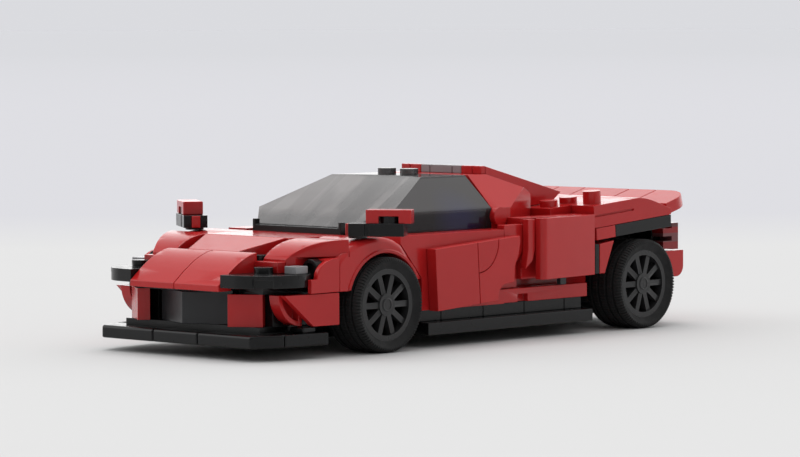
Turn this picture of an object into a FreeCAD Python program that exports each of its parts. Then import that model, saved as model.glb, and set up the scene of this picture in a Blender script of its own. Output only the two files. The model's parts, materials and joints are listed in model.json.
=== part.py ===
import FreeCAD, Part
import math
import os

# Toy supercar built of construction bricks.
# Millimetres. X is across the car with its left side at +X, Y runs from nose to tail, Z is up.
# The origin is on the ground, in the middle of the car.

# Building system
stud_pitch = 8.0
plate_height = 3.2
stud_diameter = 4.8
stud_height = 1.7
piece_gap = 0.2
wall_thickness = 1.5
tube_diameter = 6.5
tube_bore_diameter = 4.9
cut_overrun = 5.0

# Whole car
front_overhang = 42.0
wheelbase = 100.0
rear_overhang = 25.0
core_studs = 4
cabin_studs = 6
body_studs = 8
ground_clearance = 3.2

# Wheels
tyre_section = 3.0
tyre_width = 12.0
tyre_shoulder = 1.6
tyre_bead_inset = 0.8
rim_diameter = 18.0
rim_wall = 1.3
rim_face_recess = 1.2
rim_spokes = 10
spoke_width = 1.5
spoke_depth = 1.8
spoke_recess = 0.5
hub_diameter = 5.6
hub_recess = 0.1
wheel_face_half_track = 34.2
pin_diameter = 3.2
pin_clearance = 0.05
pin_end_cover = 3.2
pin_collar_diameter = 7.0
tyre_fit_clearance = 0.03
wheel_side_clearance = 0.3

# Splitter
splitter_depth = 8.2
splitter_set_back = 0.2
splitter_corner_half = 26.7
splitter_corner_run = 3.7
splitter_side_run = 13.6
splitter_side_flare = 1.6
splitter_side_width = 5.0
splitter_edge_round = 0.8
splitter_rim = 1.0
splitter_pocket_depth = 1.8
splitter_block_length = 4.4
splitter_block_back = 18.4
splitter_block_outer_half = 31.0
foot_set_back = 6.0
splitter_block_height = 1.5

# Nose
bumper_lift = 1.6
bumper_height = 8.0
grille_half_width = 13.0
grille_sweep = 5.2
grille_depth = 4.0
grille_set_back = 2.8
corner_tile_width = 8.8
corner_tile_thickness = 3.2
corner_tile_sweep = 33.0
corner_tile_inner = 16.2
corner_tile_set_back = 2.8
horn_radius = 8.0
horn_inner_half = 25.1
horn_width = 3.3
horn_wall = 1.2
horn_hollow = 2.0
horn_set_back = 8.3
side_panel_length = 17.4
side_panel_toe = 1.65
side_panel_thickness = 1.6
side_panel_cut_length = 9.2
tray_thickness = 1.2
tray_set_back = 4.7
tray_side_set_back = 7.2
post_set_back = 9.8

# Bonnet
nose_slope_length = 13.4
nose_lip_height = 1.0
nose_lip_drop = 0.5
nose_slope_rise_1 = 3.6
nose_slope_run_1 = 3.2
nose_slope_rise_2 = 6.2
nose_slope_run_2 = 7.0
bonnet_wedge_length = 11.5
bonnet_wedge_front_half = 9.0
bonnet_wedge_rear_half = 14.4
bonnet_rise = 3.1
bonnet_tile_length = 18.0
bonnet_base_height = 6.1
vent_stud_half_spacing = 13.4
vent_stud_back = 3.4
cowl_height = 1.6
cowl_post_width = 1.0
cowl_post_height = 3.1

# Front corners
lamp_plate_lift = 0.5
lamp_plate_front_set_back = 0.4
lamp_plate_nose_half = 20.0
lamp_plate_nose_sweep = 0.2
lamp_plate_shoulder_half = 24.6
lamp_plate_shoulder_sweep = 1.5
lamp_plate_corner_half = 29.6
lamp_plate_corner_sweep = 6.8
lamp_plate_outer_half = 30.4
lamp_plate_outer_sweep = 17.0
lamp_plate_tuck = 1.6
lamp_notch_half = 27.1
lamp_notch_sweep = 4.1
lamp_notch_width = 4.6
lamp_notch_depth = 1.5
lamp_notch_height = 2.0
lamp_notch_turn = 45.0
lamp_step_depth = 3.0
lamp_step_height = 2.8
lamp_lens_outer_half = 29.5
lamp_lens_width = 4.0
lamp_lens_length = 4.2
lamp_lens_height = 1.9
lamp_lens_overlap = 2.1
lamp_stud_set_back = 9.1
lamp_stud_run = 6.0
lamp_barrel_diameter = 5.0
lamp_barrel_bore_diameter = 3.0
lamp_barrel_bore_depth = 1.2
lamp_barrel_length = 2.6
lamp_barrel_half_spacing = 27.95
lamp_barrel_lift = 0.9
lamp_corner_length = 9.9
lamp_cheek_width = 1.4
lamp_corner_width = 6.6
lamp_corner_depth = 3.8
lamp_corner_top_height = 7.3
lamp_corner_lip_depth = 2.0
lamp_corner_lip_height = 3.4
lamp_corner_foot_height = 3.7
lamp_corner_run_1 = 1.0
lamp_corner_rise_1 = 6.1
lamp_corner_run_2 = 3.4
lamp_corner_rise_2 = 7.7
fender_front_half = 24.0
fender_length = 14.0
fender_front_rise = 3.3
fender_knee_run = 5.7
fender_knee_rise = 3.5
fender_shoulder_run = 10.1
fender_shoulder_rise = 4.4

# Wheel arches at the front
arch_clearance = 0.9
arch_crest_wall = 3.9
arch_studs = 4
arch_brow_share = 0.145
arch_brow_drop = 1.4
arch_crest_share = 0.343
arch_crest_end_share = 0.522
arch_fall_share = 0.7045
arch_fall_drop = 2.0
arch_foot_share = 0.937
arch_foot_drop = 10.5
arch_heel_share = 0.9465
arch_foot_rise = 1.7
arch_crest_round = 1.6

# Mirrors
mirror_angle = 35.0
mirror_arm_length = 14.0
mirror_arm_width = 6.2
mirror_arm_half_track = 33.5
mirror_arm_ahead = 4.0
mirror_lift = 0.5
mirror_foot_in = 5.0
mirror_cap_length = 11.4
mirror_cap_width = 5.2
mirror_cap_height = 3.4
mirror_cap_out = 3.05
mirror_groove_width = 1.2
mirror_groove_depth = 0.8
mirror_groove_offset = 2.4
mirror_plug_width = 2.2
mirror_plug_depth = 0.9

# Canopy and cabin
canopy_lead = 1.8
windscreen_foot_height = 1.8
windscreen_run = 27.6
roof_length = 17.0
canopy_height = 13.6
canopy_belt_height = 5.2
canopy_overhang = 0.4
canopy_rear_lean = 1.0
canopy_corner_run = 9.0
roof_half_width = 16.0
canopy_wall = 1.2
canopy_stud_spacing = 8.0
seat_width = 12.0
seat_depth = 14.0
seat_cushion_height = 4.0
seat_back_height = 15.0
seat_back_thickness = 4.0
seat_half_spacing = 9.0
seat_recline = 3.0
seat_rear_gap = 4.0
cabin_floor_thickness = 1.6
cabin_wall = 1.6
dash_depth = 6.0
steering_wheel_diameter = 8.0
steering_rim_thickness = 1.2
steering_stand_off = 4.0
steering_drop = 6.4

# Sides
side_ledge_width = 1.6
side_wall_width = 5.0
wall_recess_back = 40.0
door_tile_size = 15.8
door_thickness = 3.2
door_front_back = 16.7
door_lift = 0.8
door_tilt = 3.6
door_rear_top_run = 16.4
door_rear_shoulder_drop = 1.7
door_rear_waist_run = 15.9
door_rear_waist_drop = 3.6
door_rear_hip_run = 14.0
door_rear_hip_drop = 7.5
door_rear_heel_run = 13.5
door_rear_heel_drop = 11.7
door_rear_sole_run = 10.1
door_rear_sole_drop = 11.8
door_rear_toe_run = 7.6
door_rear_toe_drop = 13.4
door_rear_foot_run = 7.1
door_inlay_radius = 7.8
skirt_front_back = 16.0
skirt_rear_to_axle = 20.0
skirt_width = 8.0
sill_first_length = 9.0
sill_joint_studs = 2
low_strip_back = 46.0
low_strip_notch_back = 36.2
low_strip_notch_length = 4.0
low_strip_notch_depth = 1.6
low_peg_back = 52.0
low_peg_length = 2.4
low_peg_width = 1.3
sill_outer_half = 28.0
low_strip_height = 3.6
low_strip_inset = 1.0
intake_back = 45.8
intake_wall = 2.2
intake_bottom_height = 18.3
claw_bottom_height = 19.3
claw_top_height = 29.9
claw_tip_run = 7.1
claw_bulge_run = 8.0
claw_bulge_height = 26.6
claw_waist_run = 6.5
claw_waist_height = 22.1
claw_foot_run = 3.7
fin_run = 6.9
fin_length = 2.6
fin_width = 2.0
fin_top_height = 31.2
fin_heel_height = 23.3
fin_toe_height = 20.5
fin_toe_inset = 0.7
fin_foot_height = 18.3
fin_foot_inset = 1.0

# Side pods and quarter panels
pod_front_back = 54.0
pod_top_height = 31.4
panel_length = 24.0
panel_lift = 2.2
panel_thickness = 2.8
panel_toe = 7.0
panel_edge_round = 1.6
panel_stand_out = 1.6
panel_rear_gap_to_axle = 19.8

# Roof rear, scoop and engine cover
rear_roof_length = 8.1
scoop_half_width = 14.4
scoop_mesh_half_width = 7.2
scoop_bar_depth = 1.6
scoop_height = 2.1
buttress_length = 19.2
buttress_drop = 6.6
buttress_side_length = 7.3
roof_stud_set_back = 1.7
roof_stud_height = 3.1
scoop_mesh_joint_half = 4.0
scoop_end_tip = 3.2
engine_cover_length = 30.4
engine_cover_tail_height = 2.4
engine_cover_tail_undercut = 3.9

# Deck, fenders and tail
deck_front_back = 72.0
rear_arch_lift = 0.3
deck_thickness = 2.6
deck_stud_rows = 2
deck_tail_tiles = 3
deck_tail_drop = 3.1
deck_tail_thickness = 2.4
rear_tilt = 4.5
rear_fender_front_to_axle = 19.6
rear_fender_flat_length = 16.4
rear_fender_tail_length = 16.4
rear_fender_height = 6.0
rear_fender_tail_drop = 4.6
tail_knee_length_share = 0.32
tail_knee_drop_share = 0.11
tail_middle_length_share = 0.62
tail_middle_drop_share = 0.47
rear_fender_knob_height = 3.5
rear_fender_slot_depth = 0.5
rear_fender_slot_height = 0.5
rear_fender_slot_drop = 2.6
rear_arch_front_to_axle = 11.1
arch_lead_gap = 0.6
arch_lead_length = 7.8
arch_post_depth = 1.7
arch_post_drop = 0.9
arch_post_height = 7.9
arch_slope_top_drop = 0.7
arch_slope_foot_length = 2.1
duck_depth = 11.6
duck_half_width = 30.0
duck_end_radius = 7.5
duck_tilt = 15.0
duck_drop = 1.045
duck_joint_half_1 = 8.0
duck_joint_half_2 = 17.6
tail_block_front_to_axle = 14.2
tail_block_length = 3.6
tail_block_half_width = 24.0
tail_block_drop = 5.7
tail_lamp_width = 8.0
tail_lamp_height = 7.2
tail_lamp_depth = 2.8
tail_lamp_half_width = 28.0
tail_lamp_wing_height = 2.2
tail_lamp_wing_drop = 1.4
tail_lamp_wing_pitch = 3.4
tail_lamp_wings = 2
tail_lamp_top_height = 27.4
rear_bumper_height = 7.2
rear_bumper_depth = 4.6
rear_bumper_top_height = 20.0
rear_bumper_half_width = 28.4
rear_bumper_round = 3.0
diffuser_height = 6.0
diffuser_fins = 5
diffuser_fin_width = 1.4

# Sizes and places that follow from those above
tyre_diameter = rim_diameter + 2 * tyre_section
total_length = front_overhang + wheelbase + rear_overhang
nose_y = -total_length / 2
front_axle_y = nose_y + front_overhang
rear_axle_y = front_axle_y + wheelbase
tail_y = rear_axle_y + rear_overhang
nose_slope_rear_y = nose_y + nose_slope_length
bonnet_wedge_rear_y = nose_slope_rear_y + bonnet_wedge_length
bonnet_rear_y = bonnet_wedge_rear_y + bonnet_tile_length
canopy_front_y = bonnet_rear_y + canopy_lead
roof_front_y = canopy_front_y + windscreen_run
roof_rear_y = roof_front_y + roof_length
rear_roof_rear_y = roof_rear_y + rear_roof_length
deck_front_y = front_axle_y + deck_front_back
pod_front_y = front_axle_y + pod_front_back
skirt_rear_y = rear_axle_y - skirt_rear_to_axle
low_strip_front_y = front_axle_y + low_strip_back
door_front_y = front_axle_y + door_front_back
skirt_front_y = front_axle_y + skirt_front_back
rear_fender_front_y = rear_axle_y - rear_fender_front_to_axle
tail_block_front_y = rear_axle_y + tail_block_front_to_axle
duck_rear_y = tail_y - plate_height * math.sin(math.radians(duck_tilt))
duck_front_y = duck_rear_y - duck_depth * math.cos(math.radians(duck_tilt))
rear_flat_end_y = rear_fender_front_y + rear_fender_flat_length

# Half widths and heights
core_half = core_studs * stud_pitch / 2
cabin_half = cabin_studs * stud_pitch / 2
body_half = body_studs * stud_pitch / 2
seam = piece_gap / 2
axle_z = tyre_diameter / 2
floor_top = ground_clearance + plate_height
sill_top = floor_top + plate_height
bumper_bottom = floor_top + bumper_lift
low_strip_top = sill_top + low_strip_height
panel_bottom = low_strip_top + panel_lift
bumper_top = bumper_bottom + bumper_height
tray_top = bumper_top + tray_thickness
lamp_plate_bottom = tray_top + lamp_plate_lift
lamp_plate_top = lamp_plate_bottom + plate_height
bonnet_top = tyre_diameter + arch_clearance + arch_crest_wall
bonnet_front_top = bonnet_top - bonnet_rise
bonnet_underside = bonnet_top - plate_height
roof_z = bonnet_top + canopy_height
belt_z = bonnet_top + canopy_belt_height
wheel_inner_half = wheel_face_half_track - tyre_width
well_half = arch_studs * stud_pitch / 2
deck_top_height = tyre_diameter + rear_arch_lift + plate_height + rear_fender_height + seam
arch_half_length = well_half - seam
canopy_half_width = cabin_half + canopy_overhang
pod_inner_half = canopy_half_width + piece_gap
side_wall_inner_half = canopy_half_width + side_ledge_width
side_wall_outer_half = side_wall_inner_half + side_wall_width
low_strip_outer_half = side_wall_outer_half - low_strip_inset
intake_inner_half = side_wall_inner_half + intake_wall
panel_rear_half = side_wall_outer_half + panel_stand_out


def vector(x, y, z):
    return FreeCAD.Vector(x, y, z)


def block(x0, x1, y0, y1, z0, z1):
    return Part.makeBox(x1 - x0, y1 - y0, z1 - z0, vector(x0, y0, z0))


def face_of(points):
    return Part.Face(Part.makePolygon(points + [points[0]]))


def plan_prism(outline, z0, z1):
    """Solid on an outline of (x, y) points, from z0 up to z1."""
    return face_of([vector(x, y, z0) for x, y in outline]).extrude(vector(0, 0, z1 - z0))


def smooth(points):
    """Smooth edge through all the points."""
    curve = Part.BSplineCurve()
    curve.interpolate(points)
    return curve.toShape()


def outline_face(runs):
    """Face on a closed outline. A run goes straight on to its one point, or smoothly through more points."""
    start = runs[0][0]
    last = start
    edges = []
    for run in runs[1:] + [[start]]:
        edges.append(Part.makeLine(last, run[0]) if len(run) == 1 else smooth([last] + run))
        last = run[-1]
    return Part.Face(Part.Wire(edges))


def side_form(runs, x0, x1):
    """Solid on an outline of runs of (y, z) points, from x0 across to x1."""
    face = outline_face([[vector(x0, y, z) for y, z in run] for run in runs])
    return face.extrude(vector(x1 - x0, 0, 0))


def plan_form(runs, z0, z1):
    """Solid on an outline of runs of (x, y) points, from z0 up to z1."""
    face = outline_face([[vector(x, y, z0) for x, y in run] for run in runs])
    return face.extrude(vector(0, 0, z1 - z0))


def side_prism(outline, x0, x1):
    """Solid on an outline of (y, z) points, from x0 across to x1."""
    return face_of([vector(x0, y, z) for y, z in outline]).extrude(vector(x1 - x0, 0, 0))


def front_prism(outline, y0, y1):
    """Solid on an outline of (x, z) points, from y0 back to y1."""
    return face_of([vector(x, y0, z) for x, z in outline]).extrude(vector(0, y1 - y0, 0))


def rod(start, direction, diameter, length):
    return Part.makeCylinder(diameter / 2, length, start, direction)


def along_x(x0, x1, y, z, diameter):
    return rod(vector(x0, y, z), vector(1, 0, 0), diameter, x1 - x0)


def mirrored(shape):
    return shape.mirror(vector(0, 0, 0), vector(1, 0, 0))


def both_sides(shape):
    return [shape, mirrored(shape)]


def tilted(shape, y, z, angle):
    """Turn a shape about the cross line through (y, z), its rear going up."""
    turned = shape.copy()
    turned.rotate(vector(0, y, z), vector(1, 0, 0), angle)
    return turned


def toed(shape, x, y, angle):
    """Turn a shape about the upright line through (x, y)."""
    turned = shape.copy()
    turned.rotate(vector(x, y, 0), vector(0, 0, 1), angle)
    return turned


def stud(x, y, z):
    return rod(vector(x, y, z), vector(0, 0, 1), stud_diameter, stud_height)


def rounded(shape, radius, picks):
    """Round the edges of a shape that picks accepts."""
    edges = [edge for edge in shape.Edges if picks(edge)]
    return shape.makeFillet(radius, edges) if edges else shape


def is_upright(edge):
    box = edge.BoundBox
    return box.ZLength > max(box.XLength, box.YLength) and box.XLength + box.YLength < piece_gap


def deck_surface(y):
    """Height of the deck's top at a place along the car."""
    return deck_top_height + (y - rear_fender_front_y) * math.tan(math.radians(rear_tilt))


def rear_tilted(shape):
    """Turn a piece drawn level to the slope of the tail."""
    return tilted(shape, rear_fender_front_y, deck_top_height, rear_tilt)


def before_ducktail(shape):
    """Shape without what would reach the ducktail."""
    far = tail_y + cut_overrun
    return shape.cut(block(-far, far, duck_front_y - piece_gap, far, 0, far))


def save(name, solids):
    shapes = solids if isinstance(solids, list) else [solids]
    made = []
    for shape in shapes:
        made.extend(shape.removeSplitter().Solids)
    part = made[0] if len(made) == 1 else Part.makeCompound(made)
    part.exportStep(os.path.join("parts", name + ".step"))


# Underbody

def floor_plate():
    middle_front = front_axle_y + tyre_diameter / 2 + wall_thickness + arch_clearance
    middle_rear = rear_axle_y - tyre_diameter / 2 - wall_thickness - arch_clearance
    front = nose_y + splitter_set_back + splitter_depth + piece_gap
    rear = tail_block_front_y + seam
    spine = block(-core_half, core_half, front, rear, ground_clearance, floor_top)
    half = cabin_half - seam
    middle = block(-half, half, middle_front, middle_rear, ground_clearance, floor_top)
    plate = spine.fuse(middle)
    hollow_top = floor_top - wall_thickness
    hollow_spine = block(
        -core_half + wall_thickness, core_half - wall_thickness,
        front + wall_thickness, rear - wall_thickness, ground_clearance - cut_overrun, hollow_top,
    )
    hollow_middle = block(
        -cabin_half + wall_thickness, cabin_half - wall_thickness,
        middle_front + wall_thickness, middle_rear - wall_thickness,
        ground_clearance - cut_overrun, hollow_top,
    )
    plate = plate.cut(hollow_spine.fuse(hollow_middle))
    tubes = []
    rows = int((rear - front - stud_pitch) // stud_pitch)
    columns = core_studs - 1
    first_y = (front + rear - (rows - 1) * stud_pitch) / 2
    first_x = -(columns - 1) * stud_pitch / 2
    for row in range(rows):
        for column in range(columns):
            x = first_x + column * stud_pitch
            y = first_y + row * stud_pitch
            foot = vector(x, y, ground_clearance)
            tube = rod(foot, vector(0, 0, 1), tube_diameter, hollow_top - ground_clearance)
            bore = rod(foot, vector(0, 0, 1), tube_bore_diameter, hollow_top - ground_clearance)
            tubes.append(tube.cut(bore))
    return plate.fuse(tubes)


def side_skirts():
    skirt = block(
        cabin_half + seam, cabin_half + skirt_width, skirt_front_y, skirt_rear_y,
        ground_clearance, floor_top,
    )
    return both_sides(skirt)


def sills():
    pieces = []
    y0 = skirt_front_y
    end = skirt_rear_y
    y1 = y0 + sill_first_length
    while y0 < end:
        pieces.append(block(core_half, sill_outer_half, y0 + seam, min(y1, end) - seam, floor_top, sill_top))
        y0 = y1
        y1 = y0 + sill_joint_studs * stud_pitch
    return [side for piece in pieces for side in both_sides(piece)]


def axle_block(axle_y):
    half_length = stud_pitch
    carrier = block(
        -core_half, core_half, axle_y - half_length + seam, axle_y + half_length - seam,
        floor_top, bumper_top,
    )
    pin_end = wheel_face_half_track - pin_end_cover
    collar_end = wheel_inner_half - wheel_side_clearance
    pin = along_x(-pin_end, pin_end, axle_y, axle_z, pin_diameter)
    collars = along_x(-collar_end, collar_end, axle_y, axle_z, pin_collar_diameter)
    return carrier.fuse([pin, collars])


def tyre(side, axle_y):
    outer = tyre_diameter / 2
    inner = rim_diameter / 2 + tyre_fit_clearance
    x0 = wheel_inner_half
    x1 = wheel_face_half_track
    profile = [
        (x0 + tyre_bead_inset, inner), (x0, inner + tyre_bead_inset), (x0, outer - tyre_shoulder),
        (x0 + tyre_shoulder, outer), (x1 - tyre_shoulder, outer), (x1, outer - tyre_shoulder),
        (x1, inner + tyre_bead_inset), (x1 - tyre_bead_inset, inner),
    ]
    ring = face_of([vector(x, 0, r) for x, r in profile])
    body = ring.revolve(vector(0, 0, 0), vector(1, 0, 0), 360)
    body.translate(vector(0, axle_y, axle_z))
    return body if side > 0 else mirrored(body)


def rim(side, axle_y):
    outer = rim_diameter / 2
    x0 = wheel_inner_half + tyre_bead_inset
    x1 = wheel_face_half_track - rim_face_recess
    axis = vector(1, 0, 0)
    barrel = rod(vector(x0, 0, 0), axis, rim_diameter, x1 - x0)
    bore_start = vector(x0 - cut_overrun, 0, 0)
    barrel = barrel.cut(rod(bore_start, axis, rim_diameter - 2 * rim_wall, x1 - x0 + 2 * cut_overrun))
    hub_end = x1 - hub_recess
    hub = rod(vector(x0, 0, 0), axis, hub_diameter, hub_end - x0)
    spoke_end = x1 - spoke_recess
    spokes = []
    for index in range(rim_spokes):
        spoke = block(
            spoke_end - spoke_depth, spoke_end, 0, outer - rim_wall / 2, -spoke_width / 2, spoke_width / 2
        )
        spoke.rotate(vector(0, 0, 0), axis, index * 360 / rim_spokes)
        spokes.append(spoke)
    body = barrel.fuse([hub] + spokes)
    bore_end = wheel_face_half_track - pin_end_cover + wheel_side_clearance
    bore = rod(bore_start, axis, pin_diameter + 2 * pin_clearance, bore_end - x0 + cut_overrun)
    body = body.cut(bore)
    body.translate(vector(0, axle_y, axle_z))
    return body if side > 0 else mirrored(body)


# Nose

def splitter():
    """Jointed front lip: a centre tile, a corner piece at each side of it, then a hollow side piece."""
    front = nose_y + splitter_set_back
    rear = front + splitter_depth
    height = floor_top - ground_clearance
    centre = block(-stud_pitch + seam, stud_pitch - seam, front, rear, ground_clearance, floor_top)
    corner_x = splitter_corner_half
    side_x = corner_x + splitter_corner_run
    inner = stud_pitch + seam
    corner = plan_prism(
        [(inner, front), (corner_x, front), (side_x, rear), (inner, rear)], ground_clearance, floor_top
    )
    side_front = rear + piece_gap
    side_rear = side_front + splitter_side_run
    end_x = side_x + splitter_side_flare
    width = splitter_side_width
    side = plan_prism(
        [(side_x - width, side_front), (side_x, side_front), (end_x, side_rear), (end_x - width, side_rear)],
        ground_clearance, floor_top,
    )
    rim = splitter_rim
    pocket = plan_prism(
        [
            (side_x - width + rim, side_front + rim), (side_x - rim, side_front + rim),
            (end_x - rim, side_rear - rim), (end_x - width + rim, side_rear - rim),
        ],
        floor_top - splitter_pocket_depth, floor_top + cut_overrun,
    )

    def is_front_top(edge):
        box = edge.BoundBox
        level = box.ZLength < seam and box.ZMin > floor_top - height / 2
        return level and box.YMax < front + seam

    pieces = [rounded(centre, splitter_edge_round, is_front_top)]
    lug_y = front + splitter_block_back
    lug_x = splitter_block_outer_half
    lug = block(
        lug_x - width + seam, lug_x, lug_y - splitter_block_length, lug_y,
        floor_top + seam, floor_top + splitter_block_height,
    )
    for piece in (rounded(corner, splitter_edge_round, is_front_top), side.cut(pocket), lug):
        pieces.extend(both_sides(piece))
    return pieces


def nose_core():
    """Black core behind the grille, with the tray that carries bonnet and lamps and a post beside each horn."""
    back = front_axle_y - stud_pitch - seam
    grille_rear = nose_y + grille_set_back + grille_sweep + grille_depth
    half = core_half - seam
    lower = block(-half, half, grille_rear + piece_gap, back, floor_top, bumper_top)
    wing_back = front_axle_y - arch_half_length - piece_gap
    foot_front = nose_y + foot_set_back
    foot = block(-cabin_half, cabin_half, foot_front, wing_back, floor_top, bumper_bottom)
    tray_front = nose_y + tray_set_back
    tray_side_front = nose_y + tray_side_set_back
    tray = plan_prism(
        [
            (-core_half, tray_front), (core_half, tray_front), (core_half, tray_side_front),
            (cabin_half, tray_side_front), (cabin_half, wing_back), (-cabin_half, wing_back),
            (-cabin_half, tray_side_front), (-core_half, tray_side_front),
        ],
        bumper_top, tray_top,
    )
    ledge = block(core_half + seam, cabin_half, tray_side_front, wing_back, bumper_top, lamp_plate_bottom)
    tray = tray.fuse(both_sides(ledge))
    posts = []
    for side in both_sides(block(
        half, horn_inner_half - piece_gap, nose_y + post_set_back, wing_back, bumper_bottom, bumper_top
    )):
        posts.append(side)
    room = corner_tile(corner_tile_width + piece_gap, corner_tile_thickness + piece_gap)
    for side in both_sides(room):
        posts = [post.cut(side) for post in posts]
    return foot.fuse([lower, tray] + posts)


def grille():
    ridge = nose_y + grille_set_back
    flank = ridge + grille_sweep
    outline = [
        (0, ridge), (grille_half_width, flank), (grille_half_width, flank + grille_depth),
        (-grille_half_width, flank + grille_depth), (-grille_half_width, flank),
    ]
    return plan_prism(outline, bumper_bottom, bumper_top)


def corner_tile(width, thickness):
    """Swept tile at the corner of the grille, on the left."""
    front = nose_y + corner_tile_set_back
    tile = block(
        corner_tile_inner, corner_tile_inner + width, front, front + thickness, bumper_bottom, bumper_top
    )
    return toed(tile, corner_tile_inner, front, corner_tile_sweep)


def bumper_corners():
    return both_sides(corner_tile(corner_tile_width, corner_tile_thickness))


def bumper_sides():
    rear = front_axle_y - well_half - piece_gap
    front = rear - side_panel_length
    outline = [
        (body_half - side_panel_toe - side_panel_thickness, front), (body_half - side_panel_toe, front),
        (body_half, rear), (body_half - side_panel_thickness, rear),
    ]
    panel = plan_prism(outline, bumper_bottom, bumper_top - seam)
    wedge = side_prism(
        [
            (front - cut_overrun, bumper_bottom - cut_overrun),
            (front + side_panel_cut_length, bumper_bottom - cut_overrun),
            (front + side_panel_cut_length, bumper_bottom), (front, bumper_top - seam),
            (front - cut_overrun, bumper_top - seam),
        ],
        0, body_half + cut_overrun,
    )
    return both_sides(panel.cut(wedge))


def bumper_horns():
    """Quarter round horn, open towards the side between its wall and the core."""
    front = nose_y + horn_set_back
    x0 = horn_inner_half
    x1 = horn_inner_half + horn_width
    rear = front + horn_radius
    horn = block(x0, x1, front, rear, bumper_bottom, bumper_top - seam)
    horn = horn.common(along_x(x0 - cut_overrun, x1 + cut_overrun, rear, bumper_top, 2 * horn_radius))
    hollow_radius = horn_radius - horn_wall
    hollow = along_x(x1 - horn_hollow, x1 + cut_overrun, rear, bumper_top, 2 * hollow_radius)
    room = block(
        x0, x1 + cut_overrun, front - cut_overrun, rear - horn_wall,
        bumper_bottom - cut_overrun, bumper_top - horn_wall,
    )
    return both_sides(horn.cut(hollow.common(room)))


def nose_slopes():
    rear = nose_slope_rear_y - seam
    lip_rear = nose_y + tray_set_back - piece_gap
    lip_bottom = tray_top - nose_lip_drop
    runs = [
        [(nose_y, lip_bottom)], [(nose_y, tray_top + nose_lip_height)],
        [
            (nose_y + nose_slope_run_1, tray_top + nose_slope_rise_1),
            (nose_y + nose_slope_run_2, tray_top + nose_slope_rise_2), (rear, bonnet_front_top),
        ],
        [(rear, tray_top)], [(lip_rear, tray_top)], [(lip_rear, lip_bottom)],
    ]
    return both_sides(side_form(runs, seam, core_half - seam))


def bonnet_base():
    """Red bricks under the bonnet. Their top is the floor of the two vents beside the bonnet wedge."""
    half = core_half - seam
    y0 = nose_slope_rear_y + seam
    y1 = front_axle_y - stud_pitch - seam
    low = block(-half, half, y0, y1, tray_top, tray_top + bonnet_base_height)
    high = block(-half, half, bonnet_wedge_rear_y + seam, y1, tray_top, bonnet_underside - seam)
    return low.fuse(high)


def vent_studs():
    y = nose_slope_rear_y + vent_stud_back
    return both_sides(stud(vent_stud_half_spacing, y, tray_top + bonnet_base_height))


def bonnet_wedge():
    y0 = nose_slope_rear_y + seam
    y1 = bonnet_wedge_rear_y - seam
    base = tray_top + bonnet_base_height + seam
    plan = plan_prism(
        [
            (-bonnet_wedge_front_half, y0), (bonnet_wedge_front_half, y0),
            (bonnet_wedge_rear_half, y1), (-bonnet_wedge_rear_half, y1),
        ],
        base, bonnet_top,
    )
    profile = side_prism([(y0, base), (y0, bonnet_front_top), (y1, bonnet_top), (y1, base)], -core_half, core_half)
    return plan.common(profile)


def bonnet_tile():
    half = core_half - seam
    return block(-half, half, bonnet_wedge_rear_y + seam, bonnet_rear_y - seam, bonnet_underside, bonnet_top)


def lamp_corner_block_y():
    return front_axle_y - arch_half_length - seam - lamp_corner_depth


def lamp_plates():
    """Swept plate under each headlamp, one stud showing, with a notch in its front corner."""
    front = nose_y + lamp_plate_front_set_back
    inner = core_half + seam
    step_y = front + lamp_plate_outer_sweep
    step_x = body_half - lamp_corner_width - piece_gap
    rear = front_axle_y - arch_half_length - piece_gap
    runs = [
        [(inner, front)], [(lamp_plate_nose_half, front + lamp_plate_nose_sweep)],
        [
            (lamp_plate_shoulder_half, front + lamp_plate_shoulder_sweep),
            (lamp_plate_corner_half, front + lamp_plate_corner_sweep), (lamp_plate_outer_half, step_y),
        ],
        [(step_x, step_y)], [(step_x, rear)], [(inner, rear)],
    ]
    plate = plan_form(runs, lamp_plate_bottom, lamp_plate_top)
    x = lamp_notch_half
    y = front + lamp_notch_sweep
    notch = block(
        x - lamp_notch_width / 2, x + lamp_notch_width / 2, y - cut_overrun, y + lamp_notch_depth,
        lamp_plate_bottom - cut_overrun, lamp_plate_bottom + lamp_notch_height,
    )
    cheek_room = block(
        body_half - lamp_cheek_width - piece_gap, body_half + cut_overrun, step_y - lamp_plate_tuck, rear,
        lamp_plate_bottom, lamp_plate_top,
    )
    plate = plate.cut(toed(notch, x, y, lamp_notch_turn)).cut(cheek_room)
    knob = stud(core_half + lamp_stud_run, front + lamp_stud_set_back, lamp_plate_top)
    return both_sides(plate.fuse(knob))


def lamp_barrels():
    """Round light beside each lens, on the front of the lamp corner."""
    y1 = lamp_corner_block_y() - seam
    y0 = y1 - lamp_barrel_length
    x = lamp_barrel_half_spacing
    z = lamp_plate_top + lamp_barrel_lift
    barrel = rod(vector(x, y0, z), vector(0, 1, 0), lamp_barrel_diameter, y1 - y0)
    bore = rod(vector(x, y0, z), vector(0, 1, 0), lamp_barrel_bore_diameter, lamp_barrel_bore_depth)
    return both_sides(barrel.cut(bore))


def lamp_steps():
    fender_front = front_axle_y - arch_half_length + plate_height - fender_length
    step = block(
        core_half + seam, fender_front_half, fender_front - lamp_step_depth, fender_front - seam,
        lamp_plate_top, lamp_plate_top + lamp_step_height,
    )
    return both_sides(step)


def lamp_lenses():
    fender_front = front_axle_y - arch_half_length + plate_height - fender_length
    rear = fender_front + lamp_lens_overlap
    x1 = lamp_lens_outer_half
    lens = block(
        x1 - lamp_lens_width, x1, rear - lamp_lens_length, rear,
        lamp_plate_top, lamp_plate_top + lamp_lens_height,
    )
    return both_sides(lens)


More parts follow.
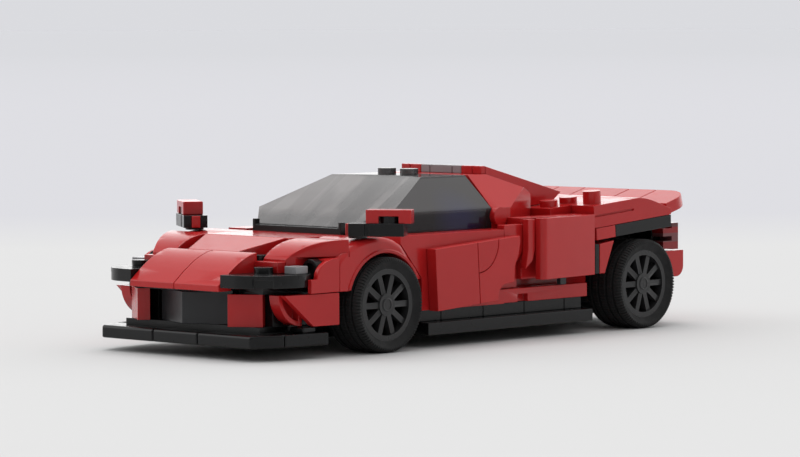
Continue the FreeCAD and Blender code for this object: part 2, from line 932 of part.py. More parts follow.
def lamp_corners():
    """Rounded cheek ahead of the wheel arch, with a block behind the round light."""
    rear = front_axle_y - arch_half_length - seam
    front = rear - lamp_corner_length
    back = front + lamp_corner_lip_depth
    base = bumper_top + seam
    runs = [
        [(front, base)], [(front, base + lamp_corner_lip_height)], [(back, base + lamp_corner_lip_height)],
        [(back, base + lamp_corner_foot_height)],
        [
            (back + lamp_corner_run_1, base + lamp_corner_rise_1),
            (back + lamp_corner_run_2, base + lamp_corner_rise_2), (rear, tray_top + lamp_corner_top_height),
        ],
        [(rear, base)],
    ]
    cheek = side_form(runs, body_half - lamp_cheek_width, body_half)
    whole = side_form(runs, body_half - lamp_corner_width, body_half)
    room = block(0, body_half + cut_overrun, front - cut_overrun, lamp_corner_block_y(), 0, bonnet_top)
    return both_sides(cheek.fuse(whole.cut(room)))


def fender_rear_y():
    return front_axle_y - arch_half_length + plate_height


def fender_plan(gap):
    """Outline of the tapered fender from above, grown by a gap."""
    rear = fender_rear_y() + gap
    front = rear - fender_length
    return [
        (core_half + seam - gap, front), (fender_front_half + gap, front),
        (body_half + gap, rear), (core_half + seam - gap, rear),
    ]


def fender_wedges():
    rear = fender_rear_y()
    front = rear - fender_length
    base = lamp_plate_top + fender_front_rise
    runs = [
        [(front, lamp_plate_top)], [(front, base)],
        [
            (front + fender_knee_run, base + fender_knee_rise),
            (front + fender_shoulder_run, base + fender_shoulder_rise), (rear, bonnet_top),
        ],
        [(rear, lamp_plate_top)],
    ]
    whole = plan_prism(fender_plan(0), lamp_plate_top, bonnet_top).common(side_form(runs, core_half, body_half))
    split_z = tray_top + lamp_corner_top_height + seam
    lower_outer = body_half - lamp_corner_width - piece_gap
    lower_rear = front_axle_y - arch_half_length - seam
    lower = whole.common(block(core_half, lower_outer, front - seam, lower_rear, lamp_plate_top, split_z))
    upper = whole.common(block(core_half, body_half, front - seam, rear, split_z, bonnet_top + cut_overrun))
    return both_sides(upper.fuse(lower))


def front_arches():
    """Wheel arch, four studs long, hollowed round the tyre, its crest rounded to the outside."""
    top = bonnet_top
    front = front_axle_y - arch_half_length
    split_z = tray_top + lamp_corner_top_height
    base = bumper_top + seam
    foot_z = base + arch_foot_rise
    length = 2 * arch_half_length
    runs = [
        [(front, base)], [(front, split_z)],
        [
            (front + length * arch_brow_share, top - arch_brow_drop), (front + length * arch_crest_share, top),
            (front + length * arch_crest_end_share, top), (front + length * arch_fall_share, top - arch_fall_drop),
        ],
        [(front + length * arch_foot_share, top - arch_foot_drop)], [(front + length * arch_heel_share, foot_z)],
        [(front_axle_y, foot_z)], [(front_axle_y, base)],
    ]
    shell = side_form(runs, core_half + seam, body_half)

    def is_outer_crest(edge):
        box = edge.BoundBox
        return box.XMin > body_half - seam and box.YLength > stud_height and box.ZMax > split_z

    shell = rounded(shell, arch_crest_round, is_outer_crest)
    hollow_diameter = tyre_diameter + 2 * arch_clearance
    hollow = along_x(core_half - cut_overrun, body_half + cut_overrun, front_axle_y, axle_z, hollow_diameter)
    room = plan_prism(fender_plan(piece_gap), split_z, top + cut_overrun)
    above = block(core_half, body_half, front, front_axle_y + arch_half_length, top, top + cut_overrun)
    return both_sides(shell.cut(above).cut(hollow).cut(room))


# Mirrors

def mirror_arms():
    x = mirror_arm_half_track
    y = front_axle_y - mirror_arm_ahead
    z = bonnet_top + seam + mirror_lift
    front = y - mirror_arm_width / 2
    arm = block(
        x - mirror_arm_length / 2, x + mirror_arm_length / 2, front, y + mirror_arm_width / 2, z, z + plate_height
    )
    groove_x = x - mirror_groove_offset
    groove = block(
        groove_x - mirror_groove_width / 2, groove_x + mirror_groove_width / 2,
        front - cut_overrun, front + mirror_groove_depth, z - cut_overrun, z + plate_height + cut_overrun,
    )
    foot = rod(vector(x - mirror_foot_in, y, z), vector(0, 0, -1), stud_diameter, mirror_lift)
    arm = arm.cut(groove).fuse([stud(x + mirror_cap_out, y, z + plate_height), foot])
    return both_sides(toed(arm, x, y, mirror_angle))


def mirror_caps():
    """Red cap on each mirror arm, and a small red plug at the arm's inner end."""
    x = mirror_arm_half_track + mirror_cap_out
    y = front_axle_y - mirror_arm_ahead
    z = bonnet_top + seam + mirror_lift + plate_height
    cap = block(
        x - mirror_cap_length / 2, x + mirror_cap_length / 2,
        y - mirror_cap_width / 2, y + mirror_cap_width / 2, z, z + mirror_cap_height,
    )
    socket = block(
        x - stud_diameter / 2 - seam, x + stud_diameter / 2 + seam, y - mirror_cap_width, y + mirror_cap_width,
        z - cut_overrun, z + stud_height + seam,
    )
    inner = mirror_arm_half_track - mirror_arm_length / 2 - seam
    plug = block(
        inner - mirror_plug_depth, inner, y - mirror_plug_width / 2, y + mirror_plug_width / 2,
        z - plate_height + seam, z - seam,
    )
    pieces = []
    for piece in (cap.cut(socket), plug):
        pieces.extend(both_sides(toed(piece, mirror_arm_half_track, y, mirror_angle)))
    return pieces


# Canopy and cabin

def canopy_form(inset):
    """Outer form of the canopy, or with an inset the form of its hollow."""
    front = canopy_front_y + inset
    rear_low = roof_rear_y + canopy_rear_lean - inset
    rear_high = roof_rear_y - inset
    base = bonnet_top
    top = roof_z - inset
    half = canopy_half_width - inset
    roof_half = roof_half_width - inset / 2
    side = side_prism(
        [
            (front, base), (front, base + windscreen_foot_height - inset / 2), (roof_front_y + inset, top),
            (rear_high, top), (rear_low, belt_z), (rear_low, base),
        ],
        -half, half,
    )
    section = front_prism(
        [
            (-half, base), (-half, belt_z - inset / 2), (-roof_half, top),
            (roof_half, top), (half, belt_z - inset / 2), (half, base),
        ],
        front, rear_low,
    )
    corner_y = canopy_front_y + canopy_corner_run
    plan = plan_prism(
        [
            (-roof_half, front), (roof_half, front), (half, corner_y), (half, rear_low),
            (-half, rear_low), (-half, corner_y),
        ],
        base, top,
    )
    return side.common(section).common(plan)


def canopy():
    shell = canopy_form(0)
    hollow = canopy_form(canopy_wall)
    hollow = hollow.fuse(hollow.translated(vector(0, 0, -canopy_wall)))
    shell = shell.cut(hollow)
    y = (roof_front_y + roof_rear_y) / 2
    knobs = [stud(x, y, roof_z) for x in (-canopy_stud_spacing / 2, canopy_stud_spacing / 2)]
    return shell.fuse(knobs)


def cowl():
    half = core_half - seam
    rear = canopy_front_y - seam
    bar = block(-half, half, bonnet_rear_y, rear, bonnet_top - cowl_height, bonnet_top + cowl_height)
    post = block(half - cowl_post_width, half, bonnet_rear_y, rear, bonnet_top, bonnet_top + cowl_post_height)
    return bar.fuse(both_sides(post))


def cabin_tub():
    """Open box under the canopy: floor, front wall with the dash, side walls and rear wall."""
    y0 = bonnet_rear_y + seam
    y1 = roof_rear_y
    half = side_wall_inner_half - seam
    outer = block(-half, half, front_axle_y + well_half + seam, y1, sill_top, bonnet_top - seam)
    inner = block(
        -half + cabin_wall, half - cabin_wall, front_axle_y + well_half + dash_depth, y1 - cabin_wall,
        sill_top + cabin_floor_thickness, roof_z,
    )
    nose = block(
        -core_half + seam, core_half - seam, y0, front_axle_y + well_half + seam,
        bumper_top, bonnet_top - cowl_height,
    )
    return outer.cut(inner).fuse(nose)


def seats():
    floor = sill_top + cabin_floor_thickness
    rear = roof_rear_y - cabin_wall - seat_rear_gap
    profile = [
        (rear - seat_depth, floor), (rear - seat_depth, floor + seat_cushion_height),
        (rear - seat_back_thickness - seat_recline, floor + seat_cushion_height),
        (rear - seat_back_thickness, floor + seat_back_height),
        (rear, floor + seat_back_height), (rear, floor),
    ]
    seat = side_prism(profile, seat_half_spacing - seat_width / 2, seat_half_spacing + seat_width / 2)
    return both_sides(seat)


def steering_wheel():
    x = seat_half_spacing
    y = front_axle_y + well_half + dash_depth
    z = bonnet_top - steering_drop
    along = vector(0, 1, 0)
    ring = rod(vector(x, y + steering_stand_off, z), along, steering_wheel_diameter, steering_rim_thickness)
    column = rod(vector(x, y, z), along, pin_diameter, steering_stand_off)
    return ring.fuse(column)


# Sides

def side_walls():
    """Body sides from the wheel arch back, with a ledge under the canopy and a pocket for the air intake."""
    y1 = pod_front_y - piece_gap
    y0 = front_axle_y + well_half
    arch_front = front_axle_y - arch_half_length
    length = 2 * arch_half_length
    gap = 2 * piece_gap
    fall_y = arch_front + length * arch_fall_share + gap
    foot_y = arch_front + length * arch_foot_share + gap
    heel_y = arch_front + length * arch_heel_share + gap
    lead = side_prism(
        [
            (heel_y, sill_top), (heel_y, bumper_top + seam + arch_foot_rise),
            (foot_y, bonnet_top - arch_foot_drop), (fall_y, bonnet_top - arch_fall_drop),
            (fall_y, bonnet_top), (y0, bonnet_top), (y0, sill_top),
        ],
        canopy_half_width, side_wall_outer_half,
    )
    wall = block(side_wall_inner_half, side_wall_outer_half, y0, y1, sill_top, bonnet_top)
    ledge_front = front_axle_y + well_half + seam
    ledge = block(canopy_half_width, side_wall_outer_half, ledge_front, y1, bonnet_top - seam, bonnet_top)
    intake = block(
        intake_inner_half, side_wall_outer_half + cut_overrun, front_axle_y + intake_back, y1 + cut_overrun,
        intake_bottom_height, bonnet_top + cut_overrun,
    )
    strip_top = sill_top + low_strip_height
    recess = block(
        intake_inner_half, side_wall_outer_half + cut_overrun, front_axle_y + wall_recess_back, y1 + cut_overrun,
        strip_top, intake_bottom_height + seam,
    )
    strip_room = block(
        0, side_wall_outer_half + cut_overrun, low_strip_front_y - piece_gap, y1 + cut_overrun,
        sill_top - cut_overrun, strip_top + seam,
    )
    return both_sides(wall.fuse([ledge, lead]).cut(intake).cut(recess).cut(strip_room))


def low_strips():
    """Red strip above the sill, with a notch near its front end."""
    y1 = skirt_rear_y
    z1 = sill_top + low_strip_height
    strip = block(side_wall_inner_half, low_strip_outer_half, low_strip_front_y, y1, sill_top, z1)
    notch_y = skirt_front_y + low_strip_notch_back
    notch = block(
        low_strip_outer_half - low_strip_notch_depth, low_strip_outer_half + cut_overrun,
        notch_y, notch_y + low_strip_notch_length, sill_top - cut_overrun, z1 - low_strip_notch_depth,
    )
    return both_sides(strip.cut(notch))


def low_pegs():
    """Small peg between the low strip and the quarter panel."""
    y1 = skirt_front_y + low_peg_back + low_peg_length
    x0 = panel_rear_half - panel_thickness - piece_gap + seam
    z0 = sill_top + low_strip_height + seam
    z1 = panel_bottom - seam
    peg = block(x0, x0 + low_peg_width, y1 - low_peg_length, y1, z0, z1)
    return both_sides(peg)


def door_pivot():
    return door_front_y + door_tile_size, sill_top + door_lift + door_tile_size / 2


def door_fronts():
    z0 = sill_top + door_lift
    tile = block(
        side_wall_outer_half + seam, side_wall_outer_half + seam + door_thickness,
        door_front_y, door_front_y + door_tile_size, z0, z0 + door_tile_size,
    )
    pivot_y, pivot_z = door_pivot()
    return both_sides(tilted(tile, pivot_y, pivot_z, door_tilt))


def door_rears():
    """Rear door panel swept in towards the air intake, with a quarter round inlay in its upper front corner."""
    z1 = sill_top + door_lift + door_tile_size
    hinge_y = door_front_y + door_tile_size
    y0 = hinge_y + piece_gap
    foot = z1 - door_tile_size
    runs = [
        [(y0, foot)], [(y0, z1)], [(hinge_y + door_rear_top_run, z1)],
        [(hinge_y + door_rear_top_run, z1 - door_rear_shoulder_drop)],
        [
            (hinge_y + door_rear_waist_run, z1 - door_rear_waist_drop),
            (hinge_y + door_rear_hip_run, z1 - door_rear_hip_drop),
        ],
        [(hinge_y + door_rear_heel_run, z1 - door_rear_heel_drop)],
        [(hinge_y + door_rear_sole_run, z1 - door_rear_sole_drop)],
        [(hinge_y + door_rear_toe_run, z1 - door_rear_toe_drop), (hinge_y + door_rear_foot_run, foot)],
    ]
    x0 = side_wall_outer_half + seam
    x1 = x0 + door_thickness
    panel = side_form(runs, x0, x1)
    inlay = panel.common(along_x(x0, x1, y0, z1, 2 * door_inlay_radius))
    rest = panel.cut(along_x(x0 - cut_overrun, x1 + cut_overrun, y0, z1, 2 * (door_inlay_radius + piece_gap)))
    pivot_y, pivot_z = door_pivot()
    pieces = []
    for piece in (inlay, rest):
        pieces.extend(both_sides(tilted(piece, pivot_y, pivot_z, door_tilt)))
    return pieces


def side_pods():
    """Blocks that carry the quarter panels, with the air intake fins ahead of them."""
    rear = rear_axle_y - panel_rear_gap_to_axle
    outer = panel_rear_half - panel_thickness - piece_gap
    pod = block(pod_inner_half, outer, pod_front_y, rear, panel_bottom, pod_top_height)
    return both_sides(pod)


def intake_fins():
    """Hooked claw behind the door and the fin after it, in front of the quarter panel."""
    y0 = front_axle_y + intake_back + piece_gap
    claw_runs = [
        [(y0, claw_bottom_height)], [(y0, claw_top_height)], [(y0 + claw_tip_run, claw_top_height)],
        [
            (y0 + claw_bulge_run, claw_bulge_height), (y0 + claw_waist_run, claw_waist_height),
            (y0 + claw_foot_run, claw_bottom_height),
        ],
    ]
    claw = side_form(claw_runs, intake_inner_half + piece_gap, side_wall_outer_half - seam)
    fin_y = y0 + fin_run
    fin_rear = fin_y + fin_length
    fin_outline = [
        (fin_y, fin_heel_height), (fin_y, fin_top_height), (fin_rear, fin_top_height),
        (fin_rear, fin_heel_height), (fin_rear - fin_toe_inset, fin_toe_height),
        (fin_y - fin_foot_inset, fin_foot_height),
    ]
    x0 = side_wall_outer_half + seam
    fin = side_prism(fin_outline, x0, x0 + fin_width)
    return both_sides(claw) + both_sides(fin)


def quarter_panels():
    rear = rear_axle_y - panel_rear_gap_to_axle
    front = rear - panel_length
    panel = block(
        panel_rear_half - panel_thickness, panel_rear_half, front, rear,
        panel_bottom, pod_top_height,
    )
    middle = vector(panel_rear_half, front, (panel_bottom + pod_top_height) / 2)
    panel = rounded(panel, panel_edge_round, lambda edge: edge.CenterOfMass.isEqual(middle, seam))
    return both_sides(toed(panel, panel_rear_half, rear, panel_toe))


# Roof rear, scoop and engine cover

def deck_room():
    """Space of the studded deck and all above it."""
    front = deck_front_y - piece_gap
    drop = deck_thickness + seam
    top = roof_z + cut_overrun
    return side_prism(
        [(front, deck_surface(front) - drop), (tail_y, deck_surface(tail_y) - drop), (tail_y, top), (front, top)],
        -body_half, body_half,
    )


def roof_rear():
    y0 = roof_rear_y + canopy_rear_lean + seam
    y_top = rear_roof_rear_y
    y1 = y_top + buttress_length
    low = roof_z - buttress_drop
    base = bonnet_top
    section = front_prism(
        [
            (-canopy_half_width, base), (-canopy_half_width, belt_z), (-roof_half_width, roof_z),
            (roof_half_width, roof_z), (canopy_half_width, belt_z), (canopy_half_width, base),
        ],
        y0, y1,
    )
    side = side_prism(
        [(y0, base), (y0, roof_z), (y_top, roof_z), (y1, low), (y1, base)],
        -canopy_half_width, canopy_half_width,
    )
    plan = plan_prism(
        [
            (-canopy_half_width, y0), (canopy_half_width, y0), (canopy_half_width, y0 + buttress_side_length),
            (roof_half_width, y1), (-roof_half_width, y1), (-canopy_half_width, y0 + buttress_side_length),
        ],
        base, roof_z,
    )
    body = section.common(side).common(plan)
    bar_rear = y_top + scoop_bar_depth
    far = y1 + cut_overrun
    channel = side_prism(
        [
            (bar_rear, deck_surface(bar_rear)), (far, deck_surface(far)),
            (far, roof_z + cut_overrun), (bar_rear, roof_z + cut_overrun),
        ],
        -scoop_half_width - seam, scoop_half_width + seam,
    )
    body = body.cut(channel).cut(deck_room())
    stud_y = roof_rear_y + canopy_rear_lean + roof_stud_set_back
    stud_z = bonnet_top + roof_stud_height
    outer = canopy_half_width + stud_height
    return body.fuse(both_sides(along_x(canopy_half_width, outer, stud_y, stud_z, stud_diameter)))


def scoop_bar(x0, x1):
    y0 = rear_roof_rear_y
    return block(x0, x1, y0, y0 + scoop_bar_depth, roof_z, roof_z + scoop_height)


def scoop_ends():
    inner = scoop_mesh_half_width + seam
    joint = scoop_half_width - scoop_end_tip
    return both_sides(scoop_bar(inner, joint - seam)) + both_sides(scoop_bar(joint + seam, scoop_half_width))


def scoop_mesh():
    joint = scoop_mesh_joint_half
    return [scoop_bar(-joint + seam, joint - seam)] + both_sides(scoop_bar(joint + seam, scoop_mesh_half_width))


def engine_cover():
    y0 = rear_roof_rear_y + scoop_bar_depth + seam
    y1 = y0 + engine_cover_length
    tail = deck_surface(y1) + seam + engine_cover_tail_height
    foot_y = y1 - engine_cover_tail_undercut
    outline = [
        (y0, deck_surface(y0) + seam), (y0, roof_z + scoop_height - seam),
        (y1, tail), (foot_y, deck_surface(foot_y) + seam),
    ]
    return side_prism(outline, -scoop_half_width, scoop_half_width)


# Deck, fenders and tail

def tail_tile(x0, x1, thickness, drop):
    """Tile that curves down towards the ducktail, drawn level."""
    y0 = rear_flat_end_y + seam
    length = rear_fender_tail_length
    top = deck_top_height
    y1 = y0 + length
    runs = [
        [(y0, top - thickness)], [(y0, top)],
        [
            (y0 + length * tail_knee_length_share, top - drop * tail_knee_drop_share),
            (y0 + length * tail_middle_length_share, top - drop * tail_middle_drop_share), (y1, top - drop),
        ],
        [(y1, top - drop - thickness)],
    ]
    return side_form(runs, x0, x1)


def deck_pieces():
    """Studded deck beside the engine cover, then three curved tiles, all sloping up to the ducktail."""
    z1 = deck_top_height
    inner = cabin_half - seam
    base = block(-inner, inner, deck_front_y, rear_flat_end_y - seam, z1 - deck_thickness, z1)
    knobs = []
    for row in range(deck_stud_rows):
        y = deck_front_y + stud_pitch / 2 + row * stud_pitch
        for x in (-core_half - stud_pitch / 2, core_half + stud_pitch / 2):
            knobs.append(stud(x, y, z1))
    pieces = [base.fuse(knobs)]
    width = 2 * cabin_half / deck_tail_tiles
    for index in range(deck_tail_tiles):
        x0 = index * width - cabin_half
        pieces.append(tail_tile(x0 + seam, x0 + width - seam, deck_tail_thickness, deck_tail_drop))
    return [before_ducktail(rear_tilted(piece)) for piece in pieces]


def rear_fenders():
    z1 = deck_top_height
    z0 = z1 - rear_fender_height
    y0 = rear_fender_front_y
    flat = block(cabin_half, body_half, y0, rear_flat_end_y + piece_gap, z0, z1)
    tail = tail_tile(cabin_half, body_half, rear_fender_height, rear_fender_tail_drop)
    level = block(cabin_half, body_half, y0, tail_y + cut_overrun, z0, z1 + cut_overrun)
    body = flat.fuse(tail).common(level)
    slot = block(
        body_half - rear_fender_slot_depth, body_half + cut_overrun, y0 - cut_overrun, rear_flat_end_y,
        z1 - rear_fender_slot_drop - rear_fender_slot_height, z1 - rear_fender_slot_drop,
    )
    foot = vector(body_half - stud_pitch / 2, y0 + stud_pitch / 2, z1)
    knob = rod(foot, vector(0, 0, 1), stud_diameter, rear_fender_knob_height)
    body = body.cut(slot).fuse(knob)
    return both_sides(before_ducktail(rear_tilted(body)))


def arch_row_top():
    return deck_top_height - rear_fender_height - seam


def arch_post_top():
    return arch_row_top() - plate_height - arch_post_drop


def arch_leads():
    """Red bricks under the fender ahead of the rear wheel, with a slanted piece below them."""
    z1 = arch_row_top()
    z0 = z1 - plate_height
    y0 = rear_fender_front_y + arch_lead_gap
    y1 = y0 + arch_lead_length
    brick = rear_tilted(block(cabin_half + seam, body_half, y0, y1, z0, z1))
    slope_y = y0 + arch_post_depth + piece_gap
    slope_top = arch_post_top()
    slope_foot = slope_top - arch_post_height
    slope = side_prism(
        [
            (slope_y, slope_foot), (slope_y, slope_top), (y1, slope_top + arch_slope_top_drop),
            (slope_y + arch_slope_foot_length, slope_foot),
        ],
        cabin_half + seam, body_half,
    )
    return both_sides(brick) + both_sides(slope)


def arch_posts():
    y0 = rear_fender_front_y + arch_lead_gap
    z1 = arch_post_top()
    post = block(cabin_half + seam, body_half, y0, y0 + arch_post_depth, z1 - arch_post_height, z1)
    return both_sides(post)


def rear_arches():
    z1 = arch_row_top()
    y0 = rear_axle_y - rear_arch_front_to_axle
    plate = block(cabin_half, body_half, y0, tail_y, z1 - plate_height, z1)
    return both_sides(before_ducktail(rear_tilted(plate)))


def ducktail():
    """Tail tile turned up towards its rear edge, in jointed pieces, its rear corners rounded."""
    y1 = duck_rear_y
    z1 = deck_surface(y1) - duck_drop
    tile = block(-duck_half_width, duck_half_width, y1 - duck_depth, y1, z1 - plate_height, z1)
    tile = rounded(tile, duck_end_radius, lambda edge: is_upright(edge) and edge.BoundBox.YMin > y1 - seam)
    for joint in (duck_joint_half_1, duck_joint_half_2):
        for x in (-joint, joint):
            tile = tile.cut(block(x - seam, x + seam, nose_y, tail_y + cut_overrun, 0, z1 + cut_overrun))
    return [tilted(piece, y1, z1, duck_tilt) for piece in tile.Solids]


def rear_core():
    """Black mass between the rear wheels and behind them, up to the deck."""
    y0 = bulkhead_rear_y() + piece_gap
    y1 = tail_block_front_y
    top = deck_surface(y0) - deck_thickness - piece_gap
    back_top = deck_surface(rear_flat_end_y) - tail_block_drop
    middle = block(-core_half, core_half, y0, y1, bumper_top + seam, back_top)
    carrier = block(-core_half, core_half, y0, rear_flat_end_y, bumper_top + seam, top)
    back = block(
        -tail_block_half_width, tail_block_half_width, y1, y1 + tail_block_length, sill_top, back_top
    )
    return middle.fuse([carrier, back])


def bulkhead_rear_y():
    return rear_axle_y - tyre_diameter / 2 - wall_thickness


def engine_bulkhead():
    """Red bricks between the cabin and the rear axle, under the roof rear and the deck."""
    y0 = roof_rear_y + canopy_rear_lean + seam
    y1 = bulkhead_rear_y()
    half = cabin_half - seam
    return block(-half, half, y0, y1, sill_top, bonnet_top - seam).cut(deck_room())


def tail_lamps():
    y0 = tail_block_front_y + tail_block_length + seam
    x1 = tail_lamp_half_width
    z1 = tail_lamp_top_height
    lamp = block(x1 - tail_lamp_width, x1, y0, y0 + tail_lamp_depth, z1 - tail_lamp_height, z1)
    wings = []
    for row in range(tail_lamp_wings):
        wing_top = z1 - tail_lamp_wing_drop - row * tail_lamp_wing_pitch
        wings.append(block(
            tail_block_half_width + seam, x1, tail_block_front_y, y0, wing_top - tail_lamp_wing_height, wing_top
        ))
    return both_sides(lamp.fuse(wings))


def rear_bumper():
    y0 = tail_block_front_y + tail_block_length + seam
    y1 = y0 + rear_bumper_depth
    z1 = rear_bumper_top_height - seam
    z0 = z1 - rear_bumper_height
    bar = block(-rear_bumper_half_width, rear_bumper_half_width, y0, y1, z0, z1)
    bar = rounded(
        bar, rear_bumper_round,
        lambda edge: edge.BoundBox.XLength > body_half and edge.CenterOfMass.isEqual(vector(0, y1, z0), seam),
    )
    wing = block(tail_block_half_width + seam, rear_bumper_half_width, tail_block_front_y, y0, z0, z1)
    return bar.fuse([wing, mirrored(wing)])


def diffuser():
    y0 = tail_block_front_y + tail_block_length + seam
    z1 = rear_bumper_top_height - rear_bumper_height - piece_gap
    bar = block(-core_half, core_half, y0, y0 + rear_bumper_depth / 2, z1 - diffuser_height, z1)
    blades = []
    spacing = (2 * core_half - diffuser_fin_width) / (diffuser_fins - 1)
    for index in range(diffuser_fins):
        x0 = -core_half + index * spacing
        blades.append(block(x0, x0 + diffuser_fin_width, y0, y0 + rear_bumper_depth, z1 - diffuser_height, z1))
    return bar.fuse(blades)


os.makedirs("parts", exist_ok=True)
save("floor_plate", floor_plate())
save("side_skirts", side_skirts())
save("sills", sills())
save("axle_blocks", [axle_block(front_axle_y), axle_block(rear_axle_y)])
for end, axle_y in (("front", front_axle_y), ("rear", rear_axle_y)):
    for hand, side in (("left", 1), ("right", -1)):
        save(f"tyre_{end}_{hand}", tyre(side, axle_y))
        save(f"rim_{end}_{hand}", rim(side, axle_y))
save("splitter", splitter())
save("nose_core", nose_core())
save("grille", grille())
save("front_bumper", bumper_corners() + bumper_sides() + bumper_horns())
save("nose_slopes", nose_slopes())
save("bonnet_wedge", bonnet_wedge())
save("bonnet_tile", bonnet_tile())
save("bonnet_base", bonnet_base())
save("vent_studs", vent_studs())
save("lamp_plates", lamp_plates())
save("lamp_steps", lamp_steps())
save("lamp_lenses", lamp_lenses())
save("lamp_barrels", lamp_barrels())
save("lamp_corners", lamp_corners())
save("fender_wedges", fender_wedges())
save("front_arches", front_arches())
save("mirror_arms", mirror_arms())
save("mirror_caps", mirror_caps())
save("canopy", canopy())
save("cowl", cowl())
save("cabin_tub", cabin_tub())
save("seats", seats())
save("steering_wheel", steering_wheel())
save("side_walls", side_walls())
save("low_strips", low_strips())
save("low_pegs", low_pegs())
save("doors", door_fronts() + door_rears())
save("side_pods", side_pods())
save("intake_fins", intake_fins())
save("quarter_panels", quarter_panels())
save("roof_rear", roof_rear())
save("scoop_ends", scoop_ends())
save("scoop_mesh", scoop_mesh())
save("engine_cover", engine_cover())
save("deck", deck_pieces())
save("rear_fenders", rear_fenders())
save("rear_arches", rear_arches())
save("arch_leads", arch_leads())
save("arch_posts", arch_posts())
save("ducktail", ducktail())
save("rear_core", rear_core())
save("engine_bulkhead", engine_bulkhead())
save("tail_lamps", tail_lamps())
save("rear_bumper", rear_bumper())
save("diffuser", diffuser())
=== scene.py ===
import json
import math

import bmesh
import bpy
from mathutils import Matrix, Vector


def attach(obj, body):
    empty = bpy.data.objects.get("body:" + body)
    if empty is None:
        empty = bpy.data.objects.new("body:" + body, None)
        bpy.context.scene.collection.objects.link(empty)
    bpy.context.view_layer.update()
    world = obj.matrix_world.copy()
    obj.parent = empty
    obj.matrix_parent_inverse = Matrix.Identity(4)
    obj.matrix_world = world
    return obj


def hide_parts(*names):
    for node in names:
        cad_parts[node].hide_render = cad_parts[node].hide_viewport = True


MM = 0.001
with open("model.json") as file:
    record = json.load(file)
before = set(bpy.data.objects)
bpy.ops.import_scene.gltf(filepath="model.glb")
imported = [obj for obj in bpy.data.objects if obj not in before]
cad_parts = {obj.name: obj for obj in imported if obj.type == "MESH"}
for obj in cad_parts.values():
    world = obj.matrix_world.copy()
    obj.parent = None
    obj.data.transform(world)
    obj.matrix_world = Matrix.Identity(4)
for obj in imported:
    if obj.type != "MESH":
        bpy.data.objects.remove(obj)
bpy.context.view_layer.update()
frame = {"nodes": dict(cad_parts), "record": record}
nodes = frame["nodes"]
body_of_node = {}
for body_name, members in frame["record"]["behaviour"]["bodies"].items():
    for member in members:
        body_of_node[member] = body_name
slot_of_node = {entry["node"]: entry["material_slot"] for entry in frame["record"]["subparts"]}


def box_of(node):
    """Lowest and highest corner of a node at rest."""
    corners = [nodes[node].matrix_world @ vertex.co for vertex in nodes[node].data.vertices]
    low = [min(corner[axis] for corner in corners) for axis in range(3)]
    high = [max(corner[axis] for corner in corners) for axis in range(3)]
    return low, high


# Node trees

BEVEL_SAMPLES = 4
EDGE_LIKENESS = (0.86, 0.995)
NOISE_SPAN = (0.3, 0.7)
RISING = (0.0, 1.0)
FALLING = (1.0, 0.0)


